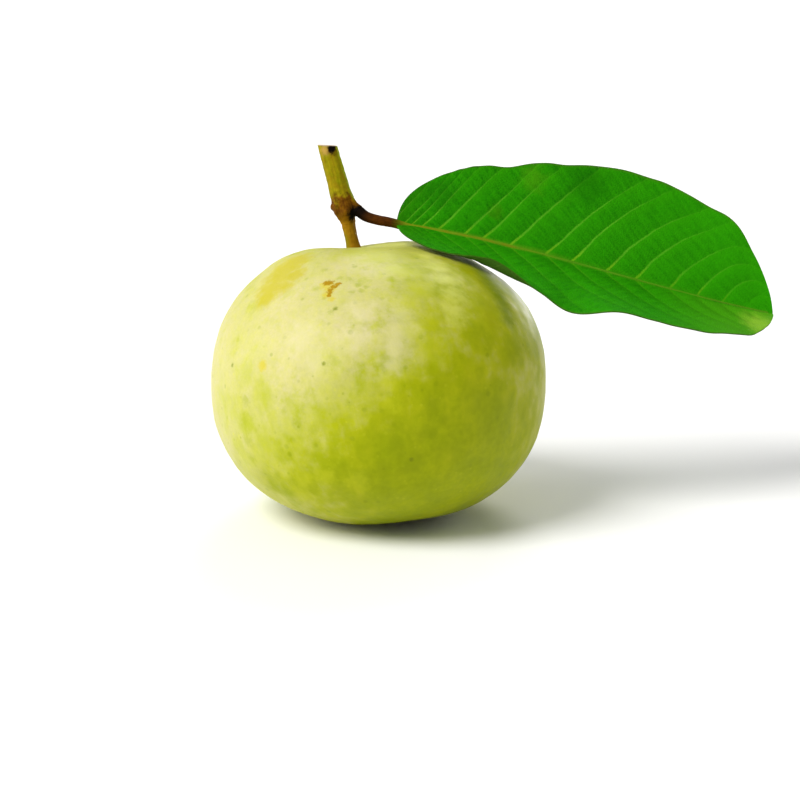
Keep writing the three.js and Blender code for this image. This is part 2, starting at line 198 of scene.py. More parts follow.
def spline(points, count):
    """count points along a smooth curve through points, evenly spaced by length, and their tangents.

    Each stretch is a cubic with the Catmull-Rom tangent (next - previous) / 2 at its ends."""
    points = np.asarray(points, float)
    padded = np.vstack([2 * points[0] - points[1], points, 2 * points[-1] - points[-2]])
    t = np.linspace(0, len(points) - 1, STRETCH_STEPS * len(points))
    i = np.minimum(t.astype(int), len(points) - 2)
    f = (t - i)[:, None]
    a, b, c, d = padded[i], padded[i + 1], padded[i + 2], padded[i + 3]
    fine = 0.5 * (2 * b + (c - a) * f + (2 * a - 5 * b + 4 * c - d) * f**2 + (3 * b - a - 3 * c + d) * f**3)
    path = at_length(fine, np.linspace(0, run(fine)[-1], count))
    return path, unit(np.gradient(path, axis=0))


def waves(points, rng, height, count, shortest, longest):
    """Gentle irregular relief: count plane waves with random directions, lengths and phases, added
    up, divided by the square root of count, and times height."""
    total = np.zeros(points.shape[:-1])
    for _ in range(count):
        direction = unit(rng.normal(size=3)) * (math.tau / rng.uniform(shortest, longest))
        total += np.sin(points @ direction + rng.uniform(0, math.tau))
    return height * (total / math.sqrt(count))


def square_to(tangents, side=(0, 1, 0)):
    """side made square to each tangent, and the cross products of the tangents and those."""
    across = unit(np.asarray(side) - (tangents @ np.asarray(side))[:, None] * tangents)
    return across, np.cross(tangents, across)


def grid_quads(rows, columns, wrap=False):
    """Quads between neighbouring points of a grid. The normal is along columns x rows."""
    last = columns if wrap else columns - 1
    i, j = np.meshgrid(np.arange(rows - 1), np.arange(last), indexing="ij")
    k = (j + 1) % columns
    a, b, c, d = i * columns + j, i * columns + k, (i + 1) * columns + k, (i + 1) * columns + j
    return np.stack([a, b, c, d], -1).reshape(-1, 4)


def link(name, data):
    """A new object in the scene that shows data."""
    made = bpy.data.objects.new(name, data)
    bpy.context.scene.collection.objects.link(made)
    return made


def smooth_object(name, mesh, values):
    """A smooth-shaded object at the origin from a mesh, with named values kept at its points."""
    for key, value in values.items():
        kind, field = ("FLOAT", "value") if value.ndim == 1 else ("FLOAT_VECTOR", "vector")
        layer = mesh.attributes.new(key, kind, "POINT")
        layer.data.foreach_set(field, value.astype(np.float32).ravel())
    mesh.shade_smooth()
    return link(name, mesh)


class Shell:
    """Points and faces that become one mesh, with named values at each point."""

    def __init__(self, points, faces, **values):
        self.points, self.faces, self.values = points, faces, values

    def __add__(self, other):
        moved = [np.asarray(f) + len(self.points) for f in other.faces]
        values = {k: np.concatenate([self.values[k], other.values[k]]) for k in self.values}
        return Shell(np.vstack([self.points, other.points]), [*self.faces, *moved], **values)

    def to_object(self, name, material):
        """The shell as a Blender object at the origin, in metres."""
        faces = [face for block in self.faces for face in np.atleast_2d(block).tolist()]
        mesh = bpy.data.meshes.new(name)
        mesh.from_pydata((self.points * MM).tolist(), [], faces)
        mesh.materials.append(material)
        return smooth_object(name, mesh, self.values)


def ball(rings, **values):
    """A closed ball from a grid of rings, whose first and last rings are single points.

    Faces point out where the rings go from the top down and each ring runs anticlockwise."""
    rows, columns = rings.shape[:2]
    middle = rings[1:-1].reshape(-1, 3)
    points = np.vstack([middle, rings[0, :1], rings[-1, :1]])
    top, bottom = len(middle), len(middle) + 1
    j = np.arange(columns)
    k = (j + 1) % columns
    last = (rows - 3) * columns
    caps = [
        np.stack([np.full(columns, top), j, k], -1),
        np.stack([np.full(columns, bottom), last + k, last + j], -1),
    ]
    sides = grid_quads(rows - 2, columns, wrap=True)[:, ::-1]
    flat = {
        name: np.concatenate([v[1:-1].reshape(-1, *v.shape[2:]), v[0, :1], v[-1, :1]])
        for name, v in values.items()
    }
    return Shell(points, [sides, *caps], **flat)


def tube(path, tangents, radii, sides, ends=(1, 1), side=(0, 1, 0)):
    """A closed limb: circles of the given radii carried along a path, with domed ends.

    The frame at each point is side made square to the tangent, and their cross product. Each end
    is a dome whose height is its radius times the matching number in ends. The limb's grain is
    (cos, sin) of the angle times the largest radius, and the length."""
    across, third = square_to(tangents, side)
    dome = np.linspace(0, math.pi / 2, DOME_STEPS + 1)[1:]
    rows = np.clip(np.arange(-DOME_STEPS, len(path) + DOME_STEPS), 0, len(path) - 1)
    radius = np.concatenate([radii[0] * np.cos(dome[::-1]), radii, radii[-1] * np.cos(dome)])
    lift = np.concatenate([
        -radii[0] * ends[0] * np.sin(dome[::-1]),
        np.zeros(len(path)),
        radii[-1] * ends[1] * np.sin(dome),
    ])
    angle = full_turn(sides)
    ring = across[rows][:, None] * np.cos(angle)[None, :, None]
    ring = ring + third[rows][:, None] * np.sin(angle)[None, :, None]
    rings = path[rows][:, None] + ring * radius[:, None, None] + (tangents[rows] * lift[:, None])[:, None]
    along = run(path)[rows] + lift
    grain = cylinder(np.max(radii), angle, along[:, None])
    return ball(rings[::-1], grain=grain[::-1] * MM)


def sheet(middle, over, under, rim=4, **values):
    """A thin closed sheet: a grid of points pushed out by over along its normals and by under
    against them, with rounded edges of rim steps that carry the edge's values.

    values are grids too. The added value under is 0 on the upper face and 1 on the lower one."""
    rows, columns = middle.shape[:2]
    normal = unit(np.cross(np.gradient(middle, axis=0), np.gradient(middle, axis=1)))
    upper = middle + normal * over[..., None]
    lower = middle - normal * under[..., None]
    edge = np.concatenate([
        np.arange(columns),
        np.arange(1, rows) * columns + columns - 1,
        (rows - 1) * columns + np.arange(columns - 2, -1, -1),
        np.arange(rows - 2, 0, -1) * columns,
    ])
    count = rows * columns
    top, low = upper.reshape(-1, 3), lower.reshape(-1, 3)
    centre = (top[edge] + low[edge]) / 2
    half = (top[edge] - low[edge]) / 2
    ahead = np.roll(centre, -1, axis=0) - np.roll(centre, 1, axis=0)
    out = np.cross(half, unit(ahead))
    turns = np.linspace(0, math.pi, rim + 2)[1:-1]
    rims = [centre + half * math.cos(a) - out * math.sin(a) for a in turns]
    points = np.vstack([top, low, *rims])
    j = np.arange(len(edge))
    k = (j + 1) % len(edge)
    loops = [edge, *[2 * count + n * len(edge) + j for n in range(rim)], count + edge]
    quads = grid_quads(rows, columns)
    walls = [np.stack([a[k], a[j], b[j], b[k]], -1) for a, b in zip(loops, loops[1:])]
    flat = {
        name: np.concatenate([v.reshape(count, -1)] * 2 + [v.reshape(count, -1)[edge]] * rim)
        for name, v in values.items()
    }
    flat = {name: v[:, 0] if v.shape[1] == 1 else v for name, v in flat.items()}
    shares = [np.full(len(edge), (n + 1) / (rim + 1)) for n in range(rim)]
    flat["under"] = np.concatenate([np.zeros(count), np.ones(count), *shares])
    return Shell(points, [quads[:, ::-1], quads + count, *walls], **flat)


# ------------------------ fruit

stalk_axis = unit(STALK_AXIS)
lean = turn_to(stalk_axis)


def skin(rays):
    """The skin's points in the directions rays from the fruit's centre.

    The reach is a superellipsoid's, (x^n + z^n)^(-1/n) with the axes' lengths divided out. Ribs are
    cosines of the angle round the stalk, swellings are hills, the dimple is a Gaussian and the
    basin is 1 / (1 + (angle / spread)^8). Below the flat spot's level the skin is cut off softly."""
    local = rays @ lean
    polar = np.arccos(np.clip(local[..., 2], -1, 1))
    around = np.arctan2(local[..., 1], local[..., 0])
    across = (np.hypot(rays[..., 0], rays[..., 1]) / (FRUIT_WIDTH / 2)) ** FRUIT_SQUARENESS
    up = (np.abs(rays[..., 2]) / FRUIT_HALF_HEIGHT) ** FRUIT_SQUARENESS
    reach = (across + up) ** (-1 / FRUIT_SQUARENESS)
    for count, height, turn, fade in RIBS:
        towards_stalk = RIBS_AT_WAIST + (1 - RIBS_AT_WAIST) * np.cos(polar)
        reach += height * np.cos(count * around + turn) * np.sin(polar) ** fade * towards_stalk
    for azimuth, elevation, height, spread in SWELLINGS:
        reach += height * np.exp((rays @ compass(azimuth, elevation) - 1) * 2 / spread**2)
    reach -= DIMPLE_DEPTH * np.exp(-((polar / DIMPLE_SPREAD) ** 2))
    reach -= BASIN_DEPTH / (1 + ((math.pi - polar) / BASIN_SPREAD) ** BASIN_STEEPNESS)
    points = rays * reach[..., None] + FRUIT_CENTRE
    z, blend = points[..., 2], FLAT_SPOT_BLEND
    points[..., 2] = np.where(z < -blend, 0, np.where(z < blend, (z + blend) ** 2 / (4 * blend), z))
    return points


def skin_grid(polar, around):
    """Rays at the angle polar from the stalk and around it, as unit vectors."""
    return cylinder(np.sin(polar), around, np.cos(polar)) @ lean.T


stalk_foot = skin(stalk_axis)
basin_floor = skin(-stalk_axis)
floor_ring = skin(skin_grid(np.full(4, math.pi - BASIN_FLOOR_SPREAD), np.arange(4) * math.pi / 2))
basin_outwards = unit(np.cross(floor_ring[0] - floor_ring[2], floor_ring[3] - floor_ring[1]))


def fruit(material):
    """The skin as a ball of rings from the stalk to the calyx, closer together at both ends.

    Low waves make it uneven to the touch, and a plain pit lets the stalk in."""
    rng = np.random.default_rng(11)
    share = np.linspace(0, 1, SKIN_RINGS)
    polar = math.pi * (share - 0.1 * np.sin(math.tau * share))
    polar, around = np.meshgrid(polar, full_turn(SKIN_SPOKES), indexing="ij")
    rays = skin_grid(polar, around)
    points = skin(rays)
    calm = smooth(points[..., 2], 0.3, 6.0) * smooth(polar, 0.08, 0.4)
    relief = sum(waves(points, rng, *kind) for kind in SKIN_WAVES)
    pit_share = polar * STALK_FOOT_REACH / (STALK_FOOT_RADIUS + PIT_PLAY)
    pit = SOCKET_DEPTH / (1 + pit_share**PIT_STEEPNESS)
    points = points + rays * (calm * (relief - SKIN_INSET) - pit)[..., None]
    grain = cylinder(GRAIN_RADIUS, around, GRAIN_RADIUS * polar)
    return ball(points, grain=grain * MM, polar=polar).to_object("fruit_skin", material)


# ------------------------ leaf

LEAF_TIP = LEAF_BASE + compass(LEAF_HEADING, -DIP_WHOLE) * LEAF_LENGTH
MIDRIB = (
    LEAF_BASE,
    LEAF_BASE + compass(LEAF_HEADING, -DIP_START) * LEAF_LENGTH * HANDLE,
    LEAF_TIP - compass(LEAF_HEADING, -DIP_END) * LEAF_LENGTH * HANDLE,
    LEAF_TIP,
)


def midrib(along):
    """The midrib's points, the way ahead, the way to the far side and the way over, at the share
    along: a cubic Bezier curve and the frame that its tangent and the vertical give."""
    t = np.asarray(along, float)[..., None]
    a, b, c, d = MIDRIB
    points = (1 - t) ** 3 * a + 3 * (1 - t) ** 2 * t * b + 3 * (1 - t) * t**2 * c + t**3 * d
    ahead = unit((1 - t) ** 2 * (b - a) + 2 * (1 - t) * t * (c - b) + t**2 * (d - c))
    far = unit(np.cross(UP, ahead))
    return points, ahead, far, np.cross(ahead, far)


def half_width(along):
    """The blade's half width: a power of the distance from the base times one from the tip."""
    along = np.clip(along, 0, 1)
    return FULLNESS * along**BASE_POWER * (1 - along**TIP_POWER) ** BLUNTNESS


def vein_phase(along, side):
    """How many side veins lie between the base and a point, as a number that is whole on a vein.

    A vein leaves the midrib at its start, leans towards the tip by a share of the distance out that
    falls from base to tip, and sweeps further with the cube of the share of the half width. The
    start is found from the point by a few rounds, because slant and sweep depend on it."""
    width = half_width(along)
    out = np.abs(side) * width
    start = along.copy()
    for _ in range(4):
        place = np.clip(start, 0, 1)
        slant = SLANT_AT_BASE + (SLANT_AT_TIP - SLANT_AT_BASE) * place
        sweep = VEIN_SWEEP * place**2 * width * np.abs(side) ** 3
        start = along - (slant * out + sweep) / LEAF_LENGTH
    first = VEIN_STARTS[0]
    phase = np.interp(start, VEIN_STARTS, np.arange(len(VEIN_STARTS)))
    return np.where(start < first, (start - first) / BASE_VEIN_GAP, phase)


def blade_middle(along, side):
    """The blade's middle surface. Each half rises or falls from the midrib at its own angle, its
    edge curls with the square of the distance out, and waves along the edge are hills."""
    points, _, far, over = midrib(along)
    width = half_width(along)
    out = np.abs(side) * width
    rise = np.radians(np.where(side > 0, FAR_RISE, NEAR_RISE))
    curl = np.where(side > 0, FAR_CURL, NEAR_CURL) * width / FULL_HALF_WIDTH
    edge_waves = np.where(side > 0, hills(along, FAR_WAVES), hills(along, NEAR_WAVES))
    roll = np.where(side < 0, side**6 * hills(along, [EDGE_ROLL]), 0)
    lift = out * np.sin(rise) + side**2 * (curl + edge_waves) + roll
    return points + far * (np.sign(side) * out * np.cos(rise))[..., None] + over * lift[..., None]


def blade(material):
    """The leaf's blade as a thin sheet, quilted between its side veins.

    The tissue swells up between veins by the cosine of the vein phase, most of it midway out, the
    veins are shallow grooves above and ridges below, and the edge ripples a little with them."""
    rng = np.random.default_rng(5)
    crowded = 0.5 - 0.5 * np.cos(math.pi * np.linspace(0, 1, BLADE_ROWS))
    side = np.linspace(-1, 1, BLADE_COLUMNS)
    along, side = np.meshgrid(0.0004 + 0.9992 * crowded, side, indexing="ij")
    phase = vein_phase(along, side)
    middle = blade_middle(along, side)
    width = half_width(along)
    out = np.abs(side) * width
    room = smooth(width, 2, 12) * smooth(out, 0.3, 3.0)
    swell = -np.cos(math.tau * phase) * room
    ripple = 0.05 * np.abs(side) ** 4 * swell + waves(middle, rng, *BLADE_WAVES)
    groove = bump(phase - np.round(phase), 0, VEIN_SPREAD) * room * (1 - np.abs(side) ** 3)
    depth = np.where(side < 0, QUILT_NEAR * smooth(along, 0.12, 0.45), QUILT_FAR)
    quilt = depth * swell * (1 - side**2) ** 1.5
    middle[..., 2] += ripple * smooth(width, 2, 10) + quilt
    thin = BLADE_THICKNESS / 2 * (1 - 0.35 * np.abs(side) ** 6)
    over, under = thin - GROOVE_DEPTH * groove, thin + RIDGE_HEIGHT * groove
    shell = sheet(middle, over, under, phase=phase, out=out, side=side, along=along)
    return shell.to_object("leaf_blade", material)


def petiole():
    """The line of the leaf's stalk from the joint to the blade, and its tangents."""
    return spline([*PETIOLE_ROUTE, tuple(LEAF_BASE)], PETIOLE_POINTS)


def stalk_and_midrib(material):
    """The leaf's stalk and midrib: one tapering limb that lies in the blade's fold.

    It starts a little inside its cushion. Its radius goes from the cushion's to the rib's over the
    stalk and then thins to the tip, and it is sunk so that it stands a little proud of the blade."""
    route, _ = petiole()
    first = round((CUSHION_SHARE - PETIOLE_TUCK / run(route)[-1]) * (PETIOLE_POINTS - 1))
    along = np.linspace(0.03, 0.985, 24)
    points, _, far, over = midrib(along)
    lean_back = math.radians((FAR_RISE - NEAR_RISE) / 2)
    fold = over * math.cos(lean_back) - far * math.sin(lean_back)
    sunk = BLADE_THICKNESS / 2 + RIB_PROUD - (RIB_RADIUS - RIB_TAPER * along**0.75)
    path, tangents = spline(np.vstack([route[first::8], points + fold * sunk[:, None]]), LIMB_POINTS)
    length = run(path)
    knots, radii = np.transpose([*LIMB_RADII, (length[-1], LIMB_TIP_RADIUS)])
    shell = tube(path, tangents, np.interp(length, knots, radii), LIMB_SIDES, ends=(0.05, 1))
    shell.values["along"] = shell.values["grain"][:, 2] / MM
    away = shell.points - at_length(path, shell.values["along"])
    shell.values["under"] = smooth(-unit(away) @ UP, -0.1, 0.3)
    return shell.to_object("leaf_stalk", material)


# ------------------------ twig


def stub(start, end, start_radius, end_radius, power):
    """A straight limb whose radius goes from start_radius to end_radius with a power of its share."""
    line, along = spline([start, (start + end) / 2, end], STUB_SIDES)
    share = np.linspace(0, 1, STUB_SIDES)
    radii = start_radius + (end_radius - start_radius) * share**power
    return tube(line, along, radii, STUB_SIDES, ends=(1, 0.5))


def twig_line():
    """The middle line of the twig and the fruit's stalk, its tangents and the length down from
    the twig's cut top."""
    spare_top = TWIG_TOP + unit(TWIG_TOP - TWIG_MIDDLE) * TWIG_SPARE
    foot_end = stalk_foot - stalk_axis * (SOCKET_DEPTH - PIECE_GAP)
    route = [spare_top, TWIG_TOP, TWIG_MIDDLE, TWIG_NODE, STALK_MIDDLE, stalk_foot, foot_end]
    path, tangents = spline(route, TWIG_POINTS)
    return path, tangents, run(path) - TWIG_SPARE


def twig_limbs(path, tangents, down):
    """The separate limbs: the shaft with its swollen joint and foot, the cushion of the leaf's
    stalk, the stub of a fallen leaf, and the web that fills the angle over the cushion."""
    above = TWIG_TOP_RADIUS + (TWIG_FOOT_RADIUS - TWIG_TOP_RADIUS) * np.clip(down / NODE_AT, 0, 1)
    radii = above + (STALK_RADIUS - above) * smooth(down, NODE_AT, NODE_AT + NODE_HALF_HEIGHT)
    radii = radii + (NODE_RADIUS - TWIG_FOOT_RADIUS) * bump(down, NODE_AT, NODE_HALF_HEIGHT)
    radii = radii + (STALK_FOOT_RADIUS - STALK_RADIUS) * smooth(down, down[-1] - 3.6, down[-1] - 1.0)
    shaft = tube(path, tangents, radii, TWIG_SIDES, ends=(0.02, 0.1))

    route, ahead = petiole()
    part = slice(0, round(CUSHION_SHARE * (PETIOLE_POINTS - 1)) + 1)
    share = np.linspace(0, 1, part.stop)
    radii = CUSHION_START_RADIUS + (CUSHION_RADIUS - CUSHION_START_RADIUS) * share**0.6
    cushion = tube(route[part], ahead[part], radii, CUSHION_SIDES, ends=(1, 0.02))
    scar = stub(TWIG_NODE + (0.3, 0, 0.2), TWIG_NODE + (-3.2, -0.3, 1.1), 2.0, 1.0, 3)
    web = stub(TWIG_NODE + WEB_START, route[WEB_END], WEB_RADIUS, WEB_END_RADIUS, 1)
    return shaft + cushion + scar + web


def grown_together(lump, material):
    """One mesh from overlapping limbs: a fine remesh, then some smoothing."""
    lump.values.clear()
    rough = lump.to_object("twig_rough", material)
    remesh = rough.modifiers.new("grow together", "REMESH")
    remesh.mode = "VOXEL"
    remesh.voxel_size = TWIG_VOXEL * MM
    soften = rough.modifiers.new("soften", "SMOOTH")
    soften.factor = 0.5
    soften.iterations = 12
    graph = bpy.context.evaluated_depsgraph_get()
    mesh = bpy.data.meshes.new_from_object(rough.evaluated_get(graph))
    bpy.data.objects.remove(rough)
    return mesh


def twig(material):
    """The twig, its swollen joint, the fruit's stalk, the leaf's cushion and a leaf scar.

    The limbs are grown together, the top is cut flat, and then the bark gets its relief:
    lengthwise furrows and low warts, which are waves, and two ring scars, which are hills."""
    rng = np.random.default_rng(23)
    path, tangents, down = twig_line()
    mesh = grown_together(twig_limbs(path, tangents, down), material)
    points = np.empty(len(mesh.vertices) * 3)
    normals = np.empty_like(points)
    mesh.vertices.foreach_get("co", points)
    mesh.vertices.foreach_get("normal", normals)
    points, normals = points.reshape(-1, 3) / MM, normals.reshape(-1, 3)
    cut = unit(TWIG_CUT)
    over_cut = (points - TWIG_TOP) @ cut
    points[over_cut > 0] -= cut * over_cut[over_cut > 0][:, None]

    near = np.argmin(((points[:, None, :] - path[None, ::2]) ** 2).sum(-1), axis=1) * 2
    offset, ahead, down = points - path[near], tangents[near], down[near]
    across, third = square_to(ahead)
    angle = np.arctan2((offset * third).sum(-1), (offset * across).sum(-1))
    grain = cylinder(BARK_GRAIN_RADIUS, angle, down)
    furrows = waves(grain * (1, 1, FURROW_STRETCH), rng, *FURROWS)
    warts = waves(points, rng, *WARTS)
    relief = (furrows + warts) * (0.8 + bump(down, NODE_AT, 3.6))
    relief = (relief + hills(down - NODE_AT, RING_SCARS)) * smooth(-over_cut, 0.0, 0.8)
    points = points + normals * relief[:, None]
    mesh.vertices.foreach_set("co", (points * MM).ravel())
    cut_face = 1 - smooth(-over_cut, 0.0, 0.12)
    return smooth_object("twig_wood", mesh, {"grain": grain * MM, "down": down, "cut": cut_face})


# ------------------------ calyx


def in_basin(shell, name, material):
    """The object of a shell made in the calyx's own frame, +Z out of the fruit, on the basin's
    floor."""
    shell.points = shell.points @ turn_to(basin_outwards).T + basin_floor + basin_outwards * PIECE_GAP
    return shell.to_object(name, material)


def lobe(i, rng):
    """A dry lobe: a sheet whose half width narrows to a blunt tip, whose edges turn up, with a
    low ridge along its middle, and which crinkles."""
    s, t = np.linspace(0.002, 0.998, LOBE_ROWS), np.linspace(-1, 1, LOBE_COLUMNS)
    s, t = np.meshgrid(s, t, indexing="ij")
    half = LOBE_HALF_WIDTH * (1 - s**2.6) ** 0.6 * (0.82 + 0.5 * s)
    half = half * (1 + 0.06 * np.sin(9 * s + 2 * i) * np.abs(t))
    out = LOBE_START + LOBE_LENGTH * s * (1 - 0.07 * math.sin(2.4 * i + 0.4))
    angle = math.tau * i / LOBES + 0.1 * math.cos(1.7 * i) * s
    crinkle = np.stack([out, t * half, 0 * s + 3.0 * i], -1)
    height = 0.5 + 0.5 * s**2 + 0.1 * (t * half) ** 2
    height = height + waves(crinkle, rng, *LOBE_WAVES) * smooth(s, 0.0, 0.3)
    height = height + 0.12 * bump(t, 0, 0.12) * (1 - s)
    x = out * np.cos(angle) - t * half * np.sin(angle)
    y = out * np.sin(angle) + t * half * np.cos(angle)
    thin = np.full(s.shape, LOBE_THICKNESS / 2)
    grain = np.stack([t * half, 0 * s + i, out], -1) * MM
    return sheet(np.stack([x, y, height], -1), thin, thin, rim=3, grain=grain)


def crown():
    """The ring that the lobes stand on: a circle turned round the axis, with a wobble."""
    turn, tube_angle = np.meshgrid(full_turn(CROWN_TURNS), full_turn(CROWN_SIDES), indexing="ij")
    wobble = 0.09 * np.sin(5 * turn + 0.6) + 0.05 * np.sin(11 * turn)
    radius = CROWN_RADIUS + wobble + CROWN_THICKNESS / 2 * np.cos(tube_angle)
    rise = (CROWN_THICKNESS / 2 + 0.08 * np.sin(7 * turn)) * np.sin(tube_angle)
    ring = cylinder(radius, turn, CROWN_HEIGHT + rise)
    faces = grid_quads(CROWN_TURNS + 1, CROWN_SIDES, wrap=True) % turn.size
    grain = np.stack([radius, 0 * radius, 3 * turn], -1).reshape(-1, 3) * MM
    return Shell(ring.reshape(-1, 3), [faces], grain=grain)


def stump(rng):
    """What is left of one stamen: a short, thin, bent limb."""
    a, r = rng.uniform(0, math.tau), rng.uniform(1.15, 1.95)
    root = cylinder(r, a, 0.25)
    tip = root + cylinder(0.5, a, 0) * rng.uniform(-0.6, 0.9)
    tip[2] = rng.uniform(0.9, 1.65)
    bend = (root + tip) / 2 + rng.normal(size=3) * 0.12
    path, tangents = spline([root, bend, tip], 6)
    return tube(path, tangents, np.linspace(0.09, 0.05, 6), 6, side=(0.3, 1, 0.1))


def calyx(material):
    """Five dry lobes, and inside them a low ring, a disc, the stub of the style and the stumps of
    stamens."""
    rng = np.random.default_rng(37)
    lobes = lobe(0, rng)
    for i in range(1, LOBES):
        lobes = lobes + lobe(i, rng)
    path, tangents = spline([(0, 0, 0.2), (0.05, 0, 0.9), (0.16, 0.05, 1.7)], 16)
    style = tube(path, tangents, np.linspace(0.34, 0.2, 16), 16, ends=(1, 0.8))
    path, tangents = spline([(0, 0, 0.12), (0, 0, 0.3), (0, 0, 0.45)], 5)
    disc = tube(path, tangents, np.full(5, DISC_RADIUS), 48, ends=(0.05, 0.06))
    heart = crown() + disc + style
    for _ in range(STUMPS):
        heart = heart + stump(rng)
    return [in_basin(lobes, "calyx_lobes", material), in_basin(heart, "calyx_crown", material)]


# ------------------------ shader helpers

RAGGED_SCALE = 1400.0  # the frequency of an edge's noise times its raggedness in mm


class Tree:
    """Short ways to put nodes into the tree of a material or a node group, which is its owner."""

    def __init__(self, owner, tree):
        self.owner, self.tree = owner, tree

    def join(self, value, socket):
        """Gives a socket a number, a vector, a colour or what another socket puts out."""
        if isinstance(value, bpy.types.NodeSocket):
            self.tree.links.new(value, socket)
        else:
            socket.default_value = (*value, 1) if socket.type == "RGBA" else value

    def add(self, kind, sockets=None, **settings):
        """A shader node of a kind, with its settings and with values for its sockets."""
        node = self.tree.nodes.new("ShaderNode" + kind)
        for key, value in settings.items():
            setattr(node, key, value)
        for key, value in (sockets or {}).items():
            self.join(value, node.inputs[key])
        return node

    def math(self, operation, *values):
        return self.add("Math", dict(enumerate(values)), operation=operation).outputs[0]

    def times(self, first, *others):
        for other in others:
            first = self.math("MULTIPLY", first, other)
        return first

    def sway(self, value, pattern, amount):
        """value plus amount times the pattern's distance from a half, which is its middle."""
        return self.math("MULTIPLY_ADD", self.math("SUBTRACT", pattern, 0.5), amount, value)

    def ramp(self, value, low, high, start=0.0, end=1.0):
        """start where value is below low, end where it is above high, and smooth between."""
        sockets = {"Value": value, "From Min": low, "From Max": high, "To Min": start, "To Max": end}
        return self.add("MapRange", sockets, interpolation_type="SMOOTHSTEP").outputs[0]

    def pull_apart(self, pattern, contrast):
        """A pattern stretched about its middle until it fills 0 to 1, further for more contrast."""
        half = self.times(self.math("SUBTRACT", 1.0, contrast), 0.5)
        return self.ramp(pattern, self.math("SUBTRACT", 0.5, half), self.math("ADD", 0.5, half))

    def vector(self, operation, *values):
        """Vector maths. Distances and dot products come out as numbers."""
        node = self.add("VectorMath", dict(enumerate(values)), operation=operation)
        return node.outputs["Value" if operation in ("DISTANCE", "DOT_PRODUCT") else "Vector"]

    def part(self, vector, axis):
        return self.add("SeparateXYZ", {0: vector}).outputs[axis]

    def attribute(self, name, output="Fac"):
        return self.add("Attribute", attribute_name=name).outputs[output]

    def noise(self, vector, scale, detail, roughness=0.5):
        sockets = {"Vector": vector, "Scale": scale, "Detail": detail, "Roughness": roughness}
        return self.add("TexNoise", sockets).outputs[0]

    def edge_noise(self, ragged):
        """Noise for a blotch's edge, with features that suit a raggedness in mm."""
        return self.noise(self.place, RAGGED_SCALE / ragged, 3.0, 0.6)

    def group(self, made, vector, **sockets):
        """The mask of a node group that works on vector."""
        named = {key.title(): value for key, value in sockets.items()}
        return self.add("Group", {"Vector": vector, **named}, node_tree=made).outputs[0]

    def mottle(self, size, contrast):
        return self.group(MOTTLE, self.place, size=size, contrast=contrast)

    def blotch(self, noise, centre, radius, edge, ragged):
        """The mask of one patch. Its centre and its other sizes are in mm."""
        centre = tuple(np.array(centre) * MM)
        sizes = {"radius": radius, "edge": edge, "ragged": ragged}
        return self.group(BLOTCH, self.place, centre=centre, noise=noise, **sizes)

    def mix(self, share, first, second):
        """The first colour at share 0 and the second at share 1."""
        return self.add("Mix", {0: share, 6: first, 7: second}, data_type="RGBA").outputs[2]

    def paint(self, colour, *coats):
        """The colour under coats of paint, each of them a mask, how much of it to take, and a tint."""
        for mask, amount, tint in coats:
            colour = self.mix(self.times(mask, amount), colour, tint)
        return colour

    def relief(self, height, strength, distance):
        """The normal as a height pattern bends it, for a relief of distance mm."""
        sockets = {"Strength": strength, "Distance": distance * MM, "Height": height}
        return self.add("Bump", sockets).outputs[0]

    def shade(self, **sockets):
        """The material, with its shader's sockets set or joined. They are named in lower case with
        underscores."""
        shader = next(n for n in self.tree.nodes if n.type == "BSDF_PRINCIPLED")
        names = {s.name.lower().replace(" ", "_"): s for s in shader.inputs}
        for key, value in sockets.items():
            self.join(value, names[key])
        return self.owner

    def put_out(self, mask):
        """The node group, with mask as its output."""
        self.join(mask, self.tree.nodes.new("NodeGroupOutput").inputs["Mask"])
        return self.owner


def new_group(name, **inputs):
    """The Tree of a new node group with one Mask output, and its inputs by name. An input is a
    number with the default value given, or a vector where that is None."""
    made = bpy.data.node_groups.new(name, "ShaderNodeTree")
    for key, value in inputs.items():
        kind = "NodeSocketVector" if value is None else "NodeSocketFloat"
        socket = made.interface.new_socket(key.title(), in_out="INPUT", socket_type=kind)
        if value is not None:
            socket.default_value = value
    made.interface.new_socket("Mask", in_out="OUTPUT", socket_type="NodeSocketFloat")
    return Tree(made, made), made.nodes.new("NodeGroupInput").outputs


def mottle_group():
    """Cloudy patches: noise with features of Size mm, pulled apart by Contrast."""
    t, given = new_group("Mottle", vector=None, size=5.0, contrast=0.5)
    noise = t.noise(given["Vector"], t.math("DIVIDE", 1 / MM, given["Size"]), 4.0, 0.55)
    return t.put_out(t.pull_apart(noise, given["Contrast"]))


def specks_group():
    """Scattered dots of about Radius mm, in a Share of the cells of a pattern of Spacing mm."""
    t, given = new_group("Specks", vector=None, spacing=4.0, radius=0.4, share=0.5)
    scale = t.math("DIVIDE", 1 / MM, given["Spacing"])
    cells = t.add("TexVoronoi", {"Vector": given["Vector"], "Scale": scale})
    channels = t.add("SeparateColor", {"Color": cells.outputs["Color"]}).outputs
    size = t.math("DIVIDE", given["Radius"], given["Spacing"])
    size = t.times(size, t.math("ADD", 0.5, channels[1]))
    dot = t.ramp(cells.outputs["Distance"], t.times(size, 0.45), size, 1.0, 0.0)
    chosen = t.math("LESS_THAN", channels[0], given["Share"])
    strength = t.math("ADD", 0.35, t.times(channels[2], 0.65))
    return t.put_out(t.times(dot, chosen, strength))


